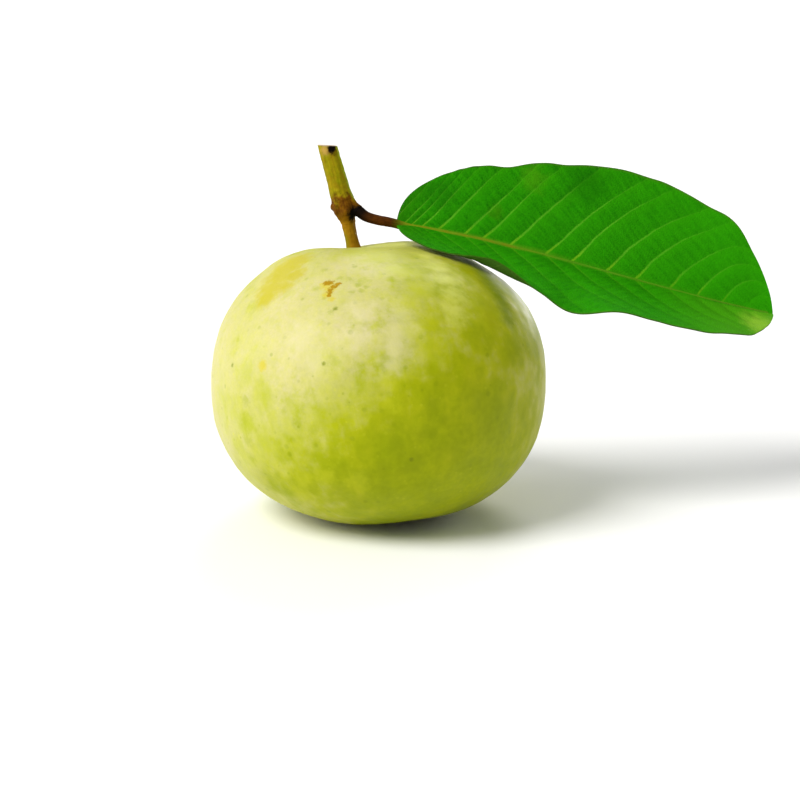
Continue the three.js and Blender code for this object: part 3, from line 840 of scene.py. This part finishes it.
def blotch_group():
    """One patch of Radius mm round Centre, with an edge Edge mm wide. Where Noise is off its
    middle of a half, the edge moves in or out, by Ragged mm at the most."""
    t, given = new_group(
        "Blotch", vector=None, centre=None, noise=0.5, radius=4.0, edge=1.0, ragged=1.0
    )
    distance = t.times(t.vector("DISTANCE", given["Vector"], given["Centre"]), 1 / MM)
    distance = t.sway(distance, given["Noise"], t.times(given["Ragged"], 2.0))
    inner = t.math("SUBTRACT", given["Radius"], given["Edge"])
    return t.put_out(t.ramp(distance, inner, given["Radius"], 1.0, 0.0))


def streaks_group():
    """Lines along a grown piece: noise on its grain, Across mm wide and Along mm long, pulled
    apart by Contrast."""
    t, given = new_group("Streaks", vector=None, across=1.0, along=12.0, contrast=0.5)
    across = t.math("DIVIDE", 1 / MM, given["Across"])
    along = t.math("DIVIDE", 1 / MM, given["Along"])
    scales = t.add("CombineXYZ", {0: across, 1: across, 2: along}).outputs[0]
    noise = t.noise(t.vector("MULTIPLY", given["Vector"], scales), 1.0, 3.0, 0.6)
    return t.put_out(t.pull_apart(noise, given["Contrast"]))


MOTTLE, SPECKS, BLOTCH, STREAKS = mottle_group(), specks_group(), blotch_group(), streaks_group()


def new_material(name):
    """The Tree of a new material, with the place of each point of the piece."""
    made = bpy.data.materials.new(name)
    made.use_nodes = True
    t = Tree(made, made.node_tree)
    t.place = t.add("TexCoord").outputs["Object"]
    return t


# ------------------------ rind

# green cheeks: greener rind, and on the lower right front painted shade as well
GREEN_AND_SHADE_CHEEKS = ((-65, -29, 1.03), (-34, 26, 0.78), (120, -30, 0.9))  # azimuth, elevation, strength
# cream cheeks facing the key, the left rim and the back rim lights: cream blush and painted highlight
CREAM_AND_HIGHLIGHT_CHEEKS = ((-122, 38, 1.0), (-178, 4, 0.98), (48, 8, 0.98))
SKIN_MARKS = {
    # tint, strength, edge and raggedness as shares of the radius, then the azimuth, elevation and
    # radius in mm of each blot of that kind
    "yellow patch": ((0.49, 0.43, 0.02), 0.82, 0.75, 0.45, (
        (-149, 39, 5.0), (-151, 43, 6.8), (-154, 47, 7.0), (-157, 52, 7.0), (-160, 57, 5.8),
        (-145, 45, 4.0), (-146, 51, 4.5))),
    # cream patches painted brighter as a highlight where the key light's broad sheen falls
    "cream and painted highlight streaks": ((0.68, 0.62, 0.35), 0.48, 0.95, 0.85, (
        (-81, 37, 5.8), (-81, 31, 6.2), (-83, 25, 6.2), (-86, 19, 4.4), (-97, 38, 6.0), (-98, 29, 6.0))),
    # cream haze painted as a broad highlight on the upper left front
    "cream and painted highlight haze": ((0.64, 0.59, 0.34), 0.38, 0.95, 0.6, (
        (-120, 27, 7.5), (-112, 20, 5.0))),
    "lime veil": ((0.45, 0.48, 0.003), 0.62, 0.95, 0.6, (
        (-135, 75, 5.5), (-90, 72, 6.0), (-69, 60, 6.0), (-68, 48, 4.5), (-68, 34, 4.4), (-70, 24, 4.6))),
    # painted light: a paler band that lightens the right shoulder where the leaf shades it
    "painted light on shoulder": ((0.64, 0.66, 0.12), 0.6, 0.95, 0.6, (
        (-20, 69, 4.5), (-36, 60, 5.0), (-45, 51, 5.5), (-50, 43, 5.8), (-56, 36, 5.4))),
    # painted shade: a darker lime band along the left edge of the leaf's painted shadow
    "painted shade along leaf shadow": ((0.33, 0.36, 0.0), 0.8, 0.9, 0.5, (
        (-8, 56, 3.4), (-16, 51, 3.6), (-23, 46, 3.8), (-28, 41, 4.2), (-33, 36, 4.4), (-38, 31, 4.4))),
    "green smudges": ((0.35, 0.4, 0.01), 0.42, 0.9, 0.9, (
        (-65, 35, 2.2), (-65, 30, 2.0), (-64, 25, 2.0), (-71, 25, 2.8), (-69, 20, 2.6), (-74, 29, 2.0),
        (-137, -5, 3.6), (-100, 53, 3.0), (-124, 47, 1.7), (-105, 20, 2.4), (-95, 12, 2.6))),
    "green clouds": ((0.24, 0.3, 0.001), 0.5, 0.9, 0.9, (
        (-84, -8, 4.0), (-78, -14, 5.0), (-88, -16, 4.4), (-95, -19, 4.0), (-74, -4, 3.6), (-72, 6, 3.4))),
    "green flecks": ((0.3, 0.35, 0.01), 0.42, 0.9, 0.8, (
        (-103, 47, 1.2), (-101, 51, 1.3), (-98.5, 48, 1.1), (-96, 50, 1.2), (-107, 54, 1.4),
        (-114, 54, 1.3), (-129, 57.5, 1.4), (-135, 51, 0.9), (-110, 37.5, 1.3), (-86, -2, 0.9))),
    "green streak": ((0.34, 0.38, 0.008), 0.52, 0.9, 0.8, (
        (-139, 3, 2.2), (-140, -4, 2.6), (-139, -11, 2.6), (-139, -18, 2.4))),
    "green belt": ((0.385, 0.43, 0.002), 0.4, 0.95, 0.7, (
        (-140, 12, 4.5), (-130, 6, 5.0), (-119, 4, 5.0), (-109, 2, 4.0), (-141, -6, 5.0), (-131, -9, 4.5))),
    "lime belt": ((0.56, 0.58, 0.02), 0.36, 0.95, 0.7, (
        (-118, -22, 5.0), (-108, -20, 4.5), (-97, -21, 5.0), (-85, 14, 4.8), (-86, 7, 4.0),
        (-78, 41, 4.6), (-77, 31, 4.6), (-120, -30, 5.0))),
    # painted shadow: a dark green crescent where the leaf's shadow falls on the right shoulder
    "painted leaf shadow band": ((0.13, 0.2, 0.0), 0.68, 0.95, 0.3, (
        (2, 54, 3.8), (-2, 51.5, 4.2), (-6, 49.5, 4.4), (-10, 47.5, 4.7), (-14, 45, 4.9), (-17, 42.5, 5.0),
        (-20, 40, 5.0), (-22, 37.5, 5.0), (-24, 35, 4.9), (-26, 32, 4.8), (-28, 29, 4.6))),
    "tan rings": ((0.56, 0.47, 0.03), 0.75, 0.7, 0.6, (
        (-120, 49.5, 2.0), (-116, 48, 2.3), (-115.5, 45, 1.8), (-112, 43, 1.3), (-133, 15.5, 1.9))),
    "cork": ((0.37, 0.22, 0.007), 1.0, 0.5, 0.95, (
        (-120, 50.5, 1.1), (-118, 51, 1.2), (-113, 50.5, 1.15), (-114.5, 49, 1.2),
        (-115, 47.5, 1.1), (-115, 46, 1.0), (-114.5, 44.5, 0.85))),
    "dark spots": ((0.17, 0.21, 0.004), 0.75, 0.8, 0.5, (
        (-108.5, 39, 0.95), (-148.5, 13, 0.75), (-108.5, 19, 0.75), (-78.5, -12.5, 0.85))),
}
BASIN_TINT_START, BASIN_TINT_WHOLE = math.pi - 0.27, math.pi - 0.17  # angles from the stalk


def cheeks(t, ray, table, uneven):
    """How squarely the rind faces the nearest of the cheeks in a table, plus unevenness."""
    nearest = -1.0
    for azimuth, elevation, strength in table:
        dot = t.vector("DOT_PRODUCT", ray, tuple(compass(azimuth, elevation) * strength))
        nearest = t.math("MAXIMUM", dot, nearest)
    return t.math("ADD", nearest, uneven)


def skin_mark(t, edge, ragged, blots):
    """One mask over all blots of a kind."""
    noise = t.edge_noise(ragged * sum(radius for _, _, radius in blots) / len(blots))
    mark = 0.0
    for azimuth, elevation, radius in blots:
        centre = skin(compass(azimuth, elevation))
        mark = t.math("MAXIMUM", t.blotch(noise, centre, radius, edge * radius, ragged * radius), mark)
    return mark


def skin_material():
    """Waxy guava rind: cream on some cheeks, painted brighter there as highlight, and green on others,
    darker on the lower right front as painted shade, all of it clouded, with faint streaks from
    stalk to calyx, pinpricks, dots, and marks in their own places: one of them cork, and on the
    right shoulder painted light, painted shade and the leaf's painted shadow."""
    t = new_material("guava rind")
    ray = t.vector("NORMALIZE", t.vector("SUBTRACT", t.place, tuple(FRUIT_CENTRE * MM)))
    banks = t.mottle(38.0, 0.5)
    clouds = t.mottle(17.0, 0.45)
    shades = t.mottle(8.0, 0.6)
    patches = t.mottle(6.0, 0.5)
    specks = t.mottle(2.9, 0.6)
    fine = t.mottle(1.5, 0.55)
    pinpricks = t.mottle(0.6, 0.4)
    lines = t.group(STREAKS, t.attribute("grain", "Vector"), across=2.6, along=60.0, contrast=0.4)
    pale_dots = t.group(SPECKS, t.place, spacing=2.0, radius=0.42, share=0.6)
    green_dots = t.group(SPECKS, t.place, spacing=3.2, radius=0.62, share=0.55)
    dark_dots = t.group(SPECKS, t.place, spacing=8.5, radius=0.6, share=0.6)
    uneven = 0.0
    for pattern, amount in ((clouds, 0.22), (patches, 0.23), (specks, 0.13), (lines, 0.12)):
        uneven = t.sway(uneven, pattern, amount)
    green = cheeks(t, ray, GREEN_AND_SHADE_CHEEKS, uneven)
    cream = cheeks(t, ray, CREAM_AND_HIGHLIGHT_CHEEKS, uneven)
    polar = t.attribute("polar")

    colour = t.paint(
        t.mix(banks, (0.515, 0.5, 0.13), (0.47, 0.48, 0.07)),
        # cream cheeks: cream blush with painted highlight
        (t.ramp(cream, 0.66, 1.02), 1.0, (0.66, 0.572, 0.362)),
        # green cheeks: greener rind, with painted shade on the lower right front
        (t.ramp(green, 0.48, 0.82), 1.0, (0.385, 0.415, 0.004)),
        (t.ramp(green, 0.72, 0.98), 1.0, (0.262, 0.324, 0.0)),
        (patches, 0.2, (0.37, 0.41, 0.001)),
        (specks, 0.26, (0.36, 0.41, 0.001)),
        (lines, 0.14, (0.37, 0.42, 0.001)),
        (fine, 0.26, (0.58, 0.59, 0.01)),
        (pinpricks, 0.16, (0.33, 0.37, 0.003)),
        (pale_dots, 0.28, (0.6, 0.6, 0.03)),
        (shades, t.ramp(green, 0.45, 0.85, 0.0, 0.34), (0.19, 0.26, 0.0)),
        (green_dots, t.ramp(green, 0.45, 0.85, 0.4, 0.68), (0.23, 0.29, 0.002)),
        (dark_dots, 0.55, (0.17, 0.21, 0.006)),
    )
    for name, (tint, strength, edge, ragged, blots) in SKIN_MARKS.items():
        mark = skin_mark(t, edge, ragged, blots)
        colour = t.paint(colour, (mark, strength, tint))
        if name == "cork":
            cork = mark
    colour = t.paint(
        colour,
        (t.ramp(polar, 0.055, 0.12, 1.0, 0.0), 0.7, (0.23, 0.2, 0.012)),
        (t.ramp(polar, BASIN_TINT_START, BASIN_TINT_WHOLE), 0.6, (0.24, 0.23, 0.025)),
    )

    pores, dents = t.noise(t.place, 1500.0, 2.0), t.noise(t.place, 260.0, 3.0)
    height = t.math("ADD", t.times(pores, 0.34), t.times(dents, 0.9))
    height = t.math("ADD", height, t.times(cork, pores, 0.9))
    return t.shade(
        base_color=colour,
        roughness=t.math("ADD", t.ramp(patches, 0.0, 1.0, 0.4, 0.5), t.times(cork, 0.3)),
        specular_ior_level=0.12,
        specular_tint=(1.0, 0.98, 0.4),
        subsurface_weight=0.12,
        subsurface_radius=(1.0, 0.9, 0.1),
        subsurface_scale=0.002,
        coat_weight=0.03,
        coat_roughness=0.32,
        normal=t.relief(height, 0.35, 0.3),
    )


# ------------------------ leaf and stalk finishes

LEAF_MARKS = (
    # share along, share out, radius, edge and raggedness in mm, strength and tint
    (0.955, -0.75, 8.0, 7.0, 3.0, 0.9, (0.24, 0.49, 0.028)),
    # painted highlight: a pale yellow-green patch on the crest of the far edge's wave
    (0.325, 0.85, 5.5, 5.0, 3.0, 0.5, (0.075, 0.31, 0.003)),
    (0.245, 0.45, 3.0, 2.6, 2.0, 0.35, (0.06, 0.17, 0.002)),
    (0.1, 0.7, 7.0, 6.0, 3.0, 0.45, (0.01, 0.13, 0.001)),
    (0.46, 0.86, 9.5, 9.0, 5.0, 0.5, (0.006, 0.115, 0.0)),
)
RUNG_TURN = 0.65  # how far the rungs between side veins lean along the leaf
RUNG_SHIFT = 8.0  # mm, how far the rungs' pattern moves from one vein to the next


def blade_material():
    """Guava leaf: deep green above, with pale veins that fade outwards, rungs between them and a
    fine net, and a duller grey-green below, darkened as painted shade. Each stretch between veins
    has painted light on its base side and painted shade on its tip side, for the quilted relief.
    The edge is thin and pale, the tip yellowish, and a crest of the far edge has a painted highlight."""
    t = new_material("leaf blade")
    along, half, out, under = (t.attribute(name) for name in ("along", "side", "out", "under"))
    side = t.math("ABSOLUTE", half)
    clouds = t.mottle(15.0, 0.45)
    wander = t.mottle(5.5, 0.0)
    blots = t.mottle(5.0, 0.5)
    patches = t.mottle(1.2, 0.6)
    phase = t.sway(t.attribute("phase"), wander, 0.1)

    width = t.times(t.ramp(side, 0.0, 1.0, 0.062, 0.034), t.ramp(along, 0.02, 0.4, 1.8, 1.0))
    vein = t.times(
        t.ramp(t.math("PINGPONG", phase, 0.5), t.times(width, 0.3), width, 1.0, 0.0),
        t.ramp(side, 0.45, 0.96, 1.0, 0.2),
        t.ramp(along, 0.55, 0.95, 1.0, 0.6),
        t.ramp(phase, LAST_VEIN, LAST_VEIN + 0.5, 1.0, 0.0),
    )
    vein_tint = t.mix(t.ramp(side, 0.04, 0.27), (0.16, 0.425, 0.008), (0.098, 0.405, 0.014))
    upper_vein = t.times(vein, t.ramp(half, -0.05, 0.05, 0.25, 1.0))
    past = t.math("FRACT", phase)
    # how strongly the painted light and shade between veins show, less on the near half
    depth = t.times(t.ramp(half, -0.05, 0.05, 0.55, 1.0), t.ramp(blots, 0.0, 1.0, 0.6, 1.0))
    between = t.math("MULTIPLY_ADD", along, RUNG_TURN * LEAF_LENGTH * MM, t.times(out, MM))
    rung = t.add("CombineXYZ", {0: between, 2: t.times(phase, RUNG_SHIFT * MM)}).outputs[0]
    rungs = t.group(STREAKS, rung, across=1.1, along=9.0, contrast=0.6)
    cells = t.add("TexVoronoi", {"Vector": t.place, "Scale": 1400.0}, feature="DISTANCE_TO_EDGE")
    net = t.ramp(cells.outputs["Distance"], 0.01, 0.18, 1.0, 0.0)
    near_tip = t.times(t.ramp(along, 0.62, 1.0), t.ramp(half, -0.1, 0.0, 1.0, 0.0))

    colour = t.paint(
        t.mix(clouds, (0.011, 0.205, 0.0001), (0.016, 0.262, 0.0002)),
        (blots, 0.3, (0.0085, 0.165, 0.0001)),
        (patches, 0.75, (0.0075, 0.145, 0.0001)),
        # painted light on the base side and painted shade on the tip side of each stretch between veins
        (t.ramp(past, 0.02, 0.45, 0.6, 0.0), depth, (0.033, 0.305, 0.0005)),
        (t.ramp(past, 0.58, 0.95, 0.0, 0.9), depth, (0.008, 0.145, 0.0001)),
        (rungs, 0.58, (0.03, 0.33, 0.0008)),
        (net, 0.36, (0.03, 0.32, 0.001)),
        (upper_vein, t.ramp(blots, 0.0, 1.0, 0.65, 1.0), vein_tint),
        (t.ramp(side, 0.025, 0.08, 0.7, 0.0), t.ramp(along, 0.2, 0.55, 1.0, 0.2), (0.105, 0.3, 0.006)),
        (t.ramp(along, 0.4, 1.0), 0.45, (0.026, 0.31, 0.0004)),
        (near_tip, 0.75, (0.085, 0.35, 0.006)),
        (t.ramp(along, 0.0, 0.1, 1.0, 0.0), 0.35, (0.02, 0.09, 0.0006)),
    )
    for at, across, radius, edge, ragged, strength, tint in LEAF_MARKS:
        centre = blade_middle(np.array(at), np.array(across))
        mark = t.blotch(t.edge_noise(ragged), centre, radius, edge, ragged)
        colour = t.paint(colour, (mark, strength, tint))
    colour = t.paint(colour, (t.ramp(side, 0.972, 1.0), 0.6, (0.07, 0.15, 0.01)))
    # the underside: duller grey-green, and darkened as painted shade
    below = t.paint(
        t.mix(clouds, (0.042, 0.125, 0.01), (0.056, 0.155, 0.014)),
        (net, 0.3, (0.08, 0.19, 0.024)),
        (vein, 0.9, (0.15, 0.26, 0.045)),
    )
    grit = t.noise(t.place, 800.0, 3.0)
    height = t.math("SUBTRACT", t.times(grit, 0.5), t.times(net, 0.5))
    return t.shade(
        base_color=t.mix(under, colour, below),
        roughness=t.ramp(under, 0.0, 1.0, 0.62, 0.8),
        specular_ior_level=0.03,
        normal=t.relief(height, 0.5, 0.2),
    )


def stalk_material():
    """Leaf stalk and midrib: black-brown at the twig, dark stalk with painted shade of the angle there,
    brown along the stalk, then olive with a blush, and pale green along the leaf, yellower below."""
    t = new_material("leaf stalk")
    grain = t.attribute("grain", "Vector")
    along = t.attribute("along")
    lines = t.group(STREAKS, grain, across=0.5, along=6.0, contrast=0.35)
    blush = t.group(STREAKS, grain, across=1.0, along=3.5, contrast=0.7)
    mottles = t.mottle(1.2, 0.6)
    olive = t.mix(lines, (0.105, 0.24, 0.004), (0.19, 0.33, 0.01))
    pale = t.mix(lines, (0.06, 0.25, 0.004), (0.105, 0.32, 0.01))
    rib_below = t.mix(lines, (0.16, 0.23, 0.03), (0.24, 0.3, 0.06))
    blushing = t.times(t.ramp(along, 10.0, 14.0), t.ramp(along, 34.0, 60.0, 1.0, 0.0))
    colour = t.paint(
        t.mix(lines, (0.042, 0.012, 0.001), (0.11, 0.034, 0.002)),
        (mottles, 0.55, (0.024, 0.007, 0.001)),
        # near black at the twig: the stalk's dark foot with painted shade of the angle over it
        (t.ramp(along, 1.5, 6.0, 1.0, 0.0), 0.97, (0.004, 0.002, 0.001)),
        (t.ramp(along, 9.5, 14.0), 1.0, olive),
        (t.ramp(along, 22.0, 60.0), 1.0, pale),
        (t.times(blush, blushing), 0.42, (0.27, 0.165, 0.006)),
        (t.attribute("under"), t.ramp(along, 12.0, 22.0), rib_below),
    )
    relief = t.relief(lines, 0.5, 0.2)
    return t.shade(base_color=colour, roughness=0.7, specular_ior_level=0.03, normal=relief)


# ------------------------ bark, calyx and floor finishes

BARK_MARKS = (
    # centre, radius, edge and raggedness in mm, of the angle, the pink, the halo and the spot
    # the angle's near black is painted shade as well as dark bark
    ((-4.7, 7.0, 74.6), 3.9, 1.6, 1.0),
    ((-13.2, 9.2, 90.9), 2.0, 1.7, 1.0),
    ((-11.3, 9.0, 91.0), 2.2, 1.6, 1.0),
    ((-11.4, 9.0, 91.4), 1.5, 0.7, 1.1),
)
JOINT_CLIMB = 0.25  # how much higher the joint's brown reaches for each mm further right
JOINT_LEFT = 9.0  # mm, how far left of the origin the joint's brown starts at its own height


def bark_material():
    """Young guava bark: olive with green and tan streaks above, brown at the joint with a lime painted
    rim light on its right, and tan on the fruit's stalk with an olive left side. The angle over the
    leaf's stalk is near black, dark bark with painted shade, and by the pale grey-pink cut face are
    a pink patch and a dark spot."""
    t = new_material("twig bark")
    grain = t.attribute("grain", "Vector")
    down = t.attribute("down")
    lines = t.group(STREAKS, grain, across=0.7, along=7.0, contrast=0.45)
    tan = t.group(STREAKS, grain, across=1.3, along=11.0, contrast=0.6)
    patches = t.mottle(2.2, 0.5)
    grains = t.mottle(1.0, 0.6)
    noise = t.edge_noise(1.0)
    # angle: near black over the leaf's stalk, dark bark with painted shade
    angle, pink, halo, spot = (t.blotch(noise, *mark) for mark in BARK_MARKS)
    brown = t.paint(
        t.mix(lines, (0.09, 0.028, 0.001), (0.26, 0.11, 0.003)),
        (grains, 0.6, (0.06, 0.015, 0.001)),
    )
    climb = t.math("MULTIPLY_ADD", t.part(t.place, "X"), JOINT_CLIMB / MM, JOINT_LEFT * JOINT_CLIMB)
    joint = t.ramp(t.math("ADD", down, t.sway(climb, patches, 4.0)), 11.6, 14.4)
    right = t.part(grain, "Y")
    # painted rim light: a lime band down the twig's right side, above the joint's foot
    painted_rim_light = t.times(t.ramp(right, 0.0018, 0.0023), t.ramp(down, 13.8, 16.2, 1.0, 0.0))
    streaky = t.math("MULTIPLY_ADD", lines, -0.0015, right)
    lower = t.times(t.ramp(down, 20.0, 25.0), t.ramp(streaky, -0.0035, -0.0002, 1.0, 0.0))
    colour = t.paint(
        t.mix(lines, (0.195, 0.145, 0.001), (0.38, 0.305, 0.002)),
        (tan, 0.4, (0.4, 0.22, 0.01)),
        (patches, 0.45, (0.24, 0.33, 0.001)),
        (grains, 0.35, (0.15, 0.13, 0.001)),
        (joint, 1.0, brown),
        (painted_rim_light, 0.8, (0.36, 0.44, 0.004)),
        (t.ramp(down, 16.0, 21.0), 0.8, (0.39, 0.195, 0.006)),
        (lower, 0.85, (0.23, 0.2, 0.004)),
        # painted shade, with dark bark, in the angle over the leaf's stalk
        (angle, 1.0, (0.003, 0.0015, 0.001)),
        (pink, 0.7, (0.56, 0.33, 0.09)),
        (halo, 0.7, (0.09, 0.03, 0.001)),
        (spot, 1.0, (0.004, 0.002, 0.001)),
    )
    wood = t.mix(patches, (0.48, 0.36, 0.25), (0.56, 0.45, 0.33))
    clean = t.math("SUBTRACT", 1.0, t.times(spot, 0.9))
    colour = t.paint(colour, (t.attribute("cut"), clean, wood))
    relief = t.relief(t.math("ADD", lines, t.times(patches, 0.5)), 0.5, 0.25)
    return t.shade(base_color=colour, roughness=0.7, specular_ior_level=0.04, normal=relief)


def calyx_material():
    """Dry brown husk with darker veins and pale worn patches."""
    t = new_material("dried calyx")
    lines = t.group(STREAKS, t.attribute("grain", "Vector"), across=0.45, along=4.0, contrast=0.4)
    patches = t.mottle(1.6, 0.5)
    colour = t.paint(
        t.mix(lines, (0.085, 0.045, 0.018), (0.18, 0.105, 0.045)),
        (patches, 0.5, (0.24, 0.165, 0.08)),
    )
    relief = t.relief(t.math("ADD", lines, patches), 0.6, 0.2)
    return t.shade(base_color=colour, roughness=0.85, specular_ior_level=0.25, normal=relief)


def floor_material():
    """Plain matt white floor with the faintest unevenness."""
    t = new_material("studio floor")
    colour = t.mix(t.noise(t.place, 3.0, 2.0), (0.9, 0.9, 0.9), (0.93, 0.93, 0.93))
    return t.shade(base_color=colour, roughness=0.9, specular_ior_level=0.1)


# ------------------------ studio

CAMERA_ELEVATION = math.radians(14)
CAMERA_DISTANCE = 0.7
CAMERA_AIM_RIGHT, CAMERA_AIM_DOWN = 5.5 * MM, 4.47 * MM  # the aim's place beside the fruit's centre
CAMERA_NEAR, CAMERA_FAR = 0.05, 50
LENS, SENSOR = 124.9, 36.0
FLOOR_HALF_SIDE = 6000.0
SURROUND_STRENGTH = 0.34
LIGHTS = (
    # name, the way to the light, its width in degrees as the fruit sees it, strength and colour
    ("key", (-0.54, -0.39, 0.73), 34, 2.95, (1.0, 0.99, 0.96)),
    ("left_rim", (-0.93, 0.1, 0.28), 22, 0.9, (1, 1, 1)),
    ("back_rim", (0.45, 0.89, 0.09), 22, 0.85, (1, 1, 1)),
    ("top", (0.14, 0.77, 0.62), 26, 0.9, (1, 1, 1)),
)


def camera():
    """A long lens in front of the fruit and a little above it, looking along +Y and down."""
    ahead = Vector((0, math.cos(CAMERA_ELEVATION), -math.sin(CAMERA_ELEVATION)))
    right = Vector((1, 0, 0))
    above = right.cross(ahead)
    aim = Vector(FRUIT_CENTRE * MM) + right * CAMERA_AIM_RIGHT - above * CAMERA_AIM_DOWN
    data = bpy.data.cameras.new("camera")
    data.lens, data.sensor_width = LENS, SENSOR
    data.clip_start, data.clip_end = CAMERA_NEAR, CAMERA_FAR
    made = link("camera", data)
    turn = ahead.to_track_quat("-Z", "Y").to_matrix().to_4x4()
    made.matrix_world = Matrix.Translation(aim - ahead * CAMERA_DISTANCE) @ turn
    bpy.context.scene.camera = made


def studio():
    """A wide pale floor, a white surround, and round soft lights far off: a big key in front on
    the left, a rim light from the left, a low one behind on the right and one above the back."""
    corners = np.array([[-1, -1, 0], [1, -1, 0], [1, 1, 0], [-1, 1, 0]]) * FLOOR_HALF_SIDE
    plane = Shell(corners, [np.array([[0, 1, 2, 3]])]).to_object("floor", floor_material())
    world = bpy.data.worlds.new("surround")
    world.use_nodes = True
    surround = world.node_tree.nodes["Background"]
    surround.inputs["Color"].default_value = (1, 1, 1, 1)
    surround.inputs["Strength"].default_value = SURROUND_STRENGTH
    bpy.context.scene.world = world
    for name, towards, width, strength, colour in LIGHTS:
        data = bpy.data.lights.new(name, "SUN")
        data.angle = math.radians(width)
        data.energy, data.color = strength, colour
        link(name, data).rotation_euler = (-Vector(towards)).to_track_quat("-Z", "Y").to_euler()
    bpy.context.scene.view_settings.view_transform = "Standard"


# ------------------------ putting it together


def hang(piece, node):
    """The piece rides on the root body and stands for a solid, whose own mesh is hidden."""
    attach(piece, BODY)
    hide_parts(node)


camera()
studio()
hang(fruit(skin_material()), "fruit")
hang(blade(blade_material()), "leaf")
hang(stalk_and_midrib(stalk_material()), "leaf")
hang(twig(bark_material()), "twig")
for calyx_piece in calyx(calyx_material()):
    hang(calyx_piece, "calyx")
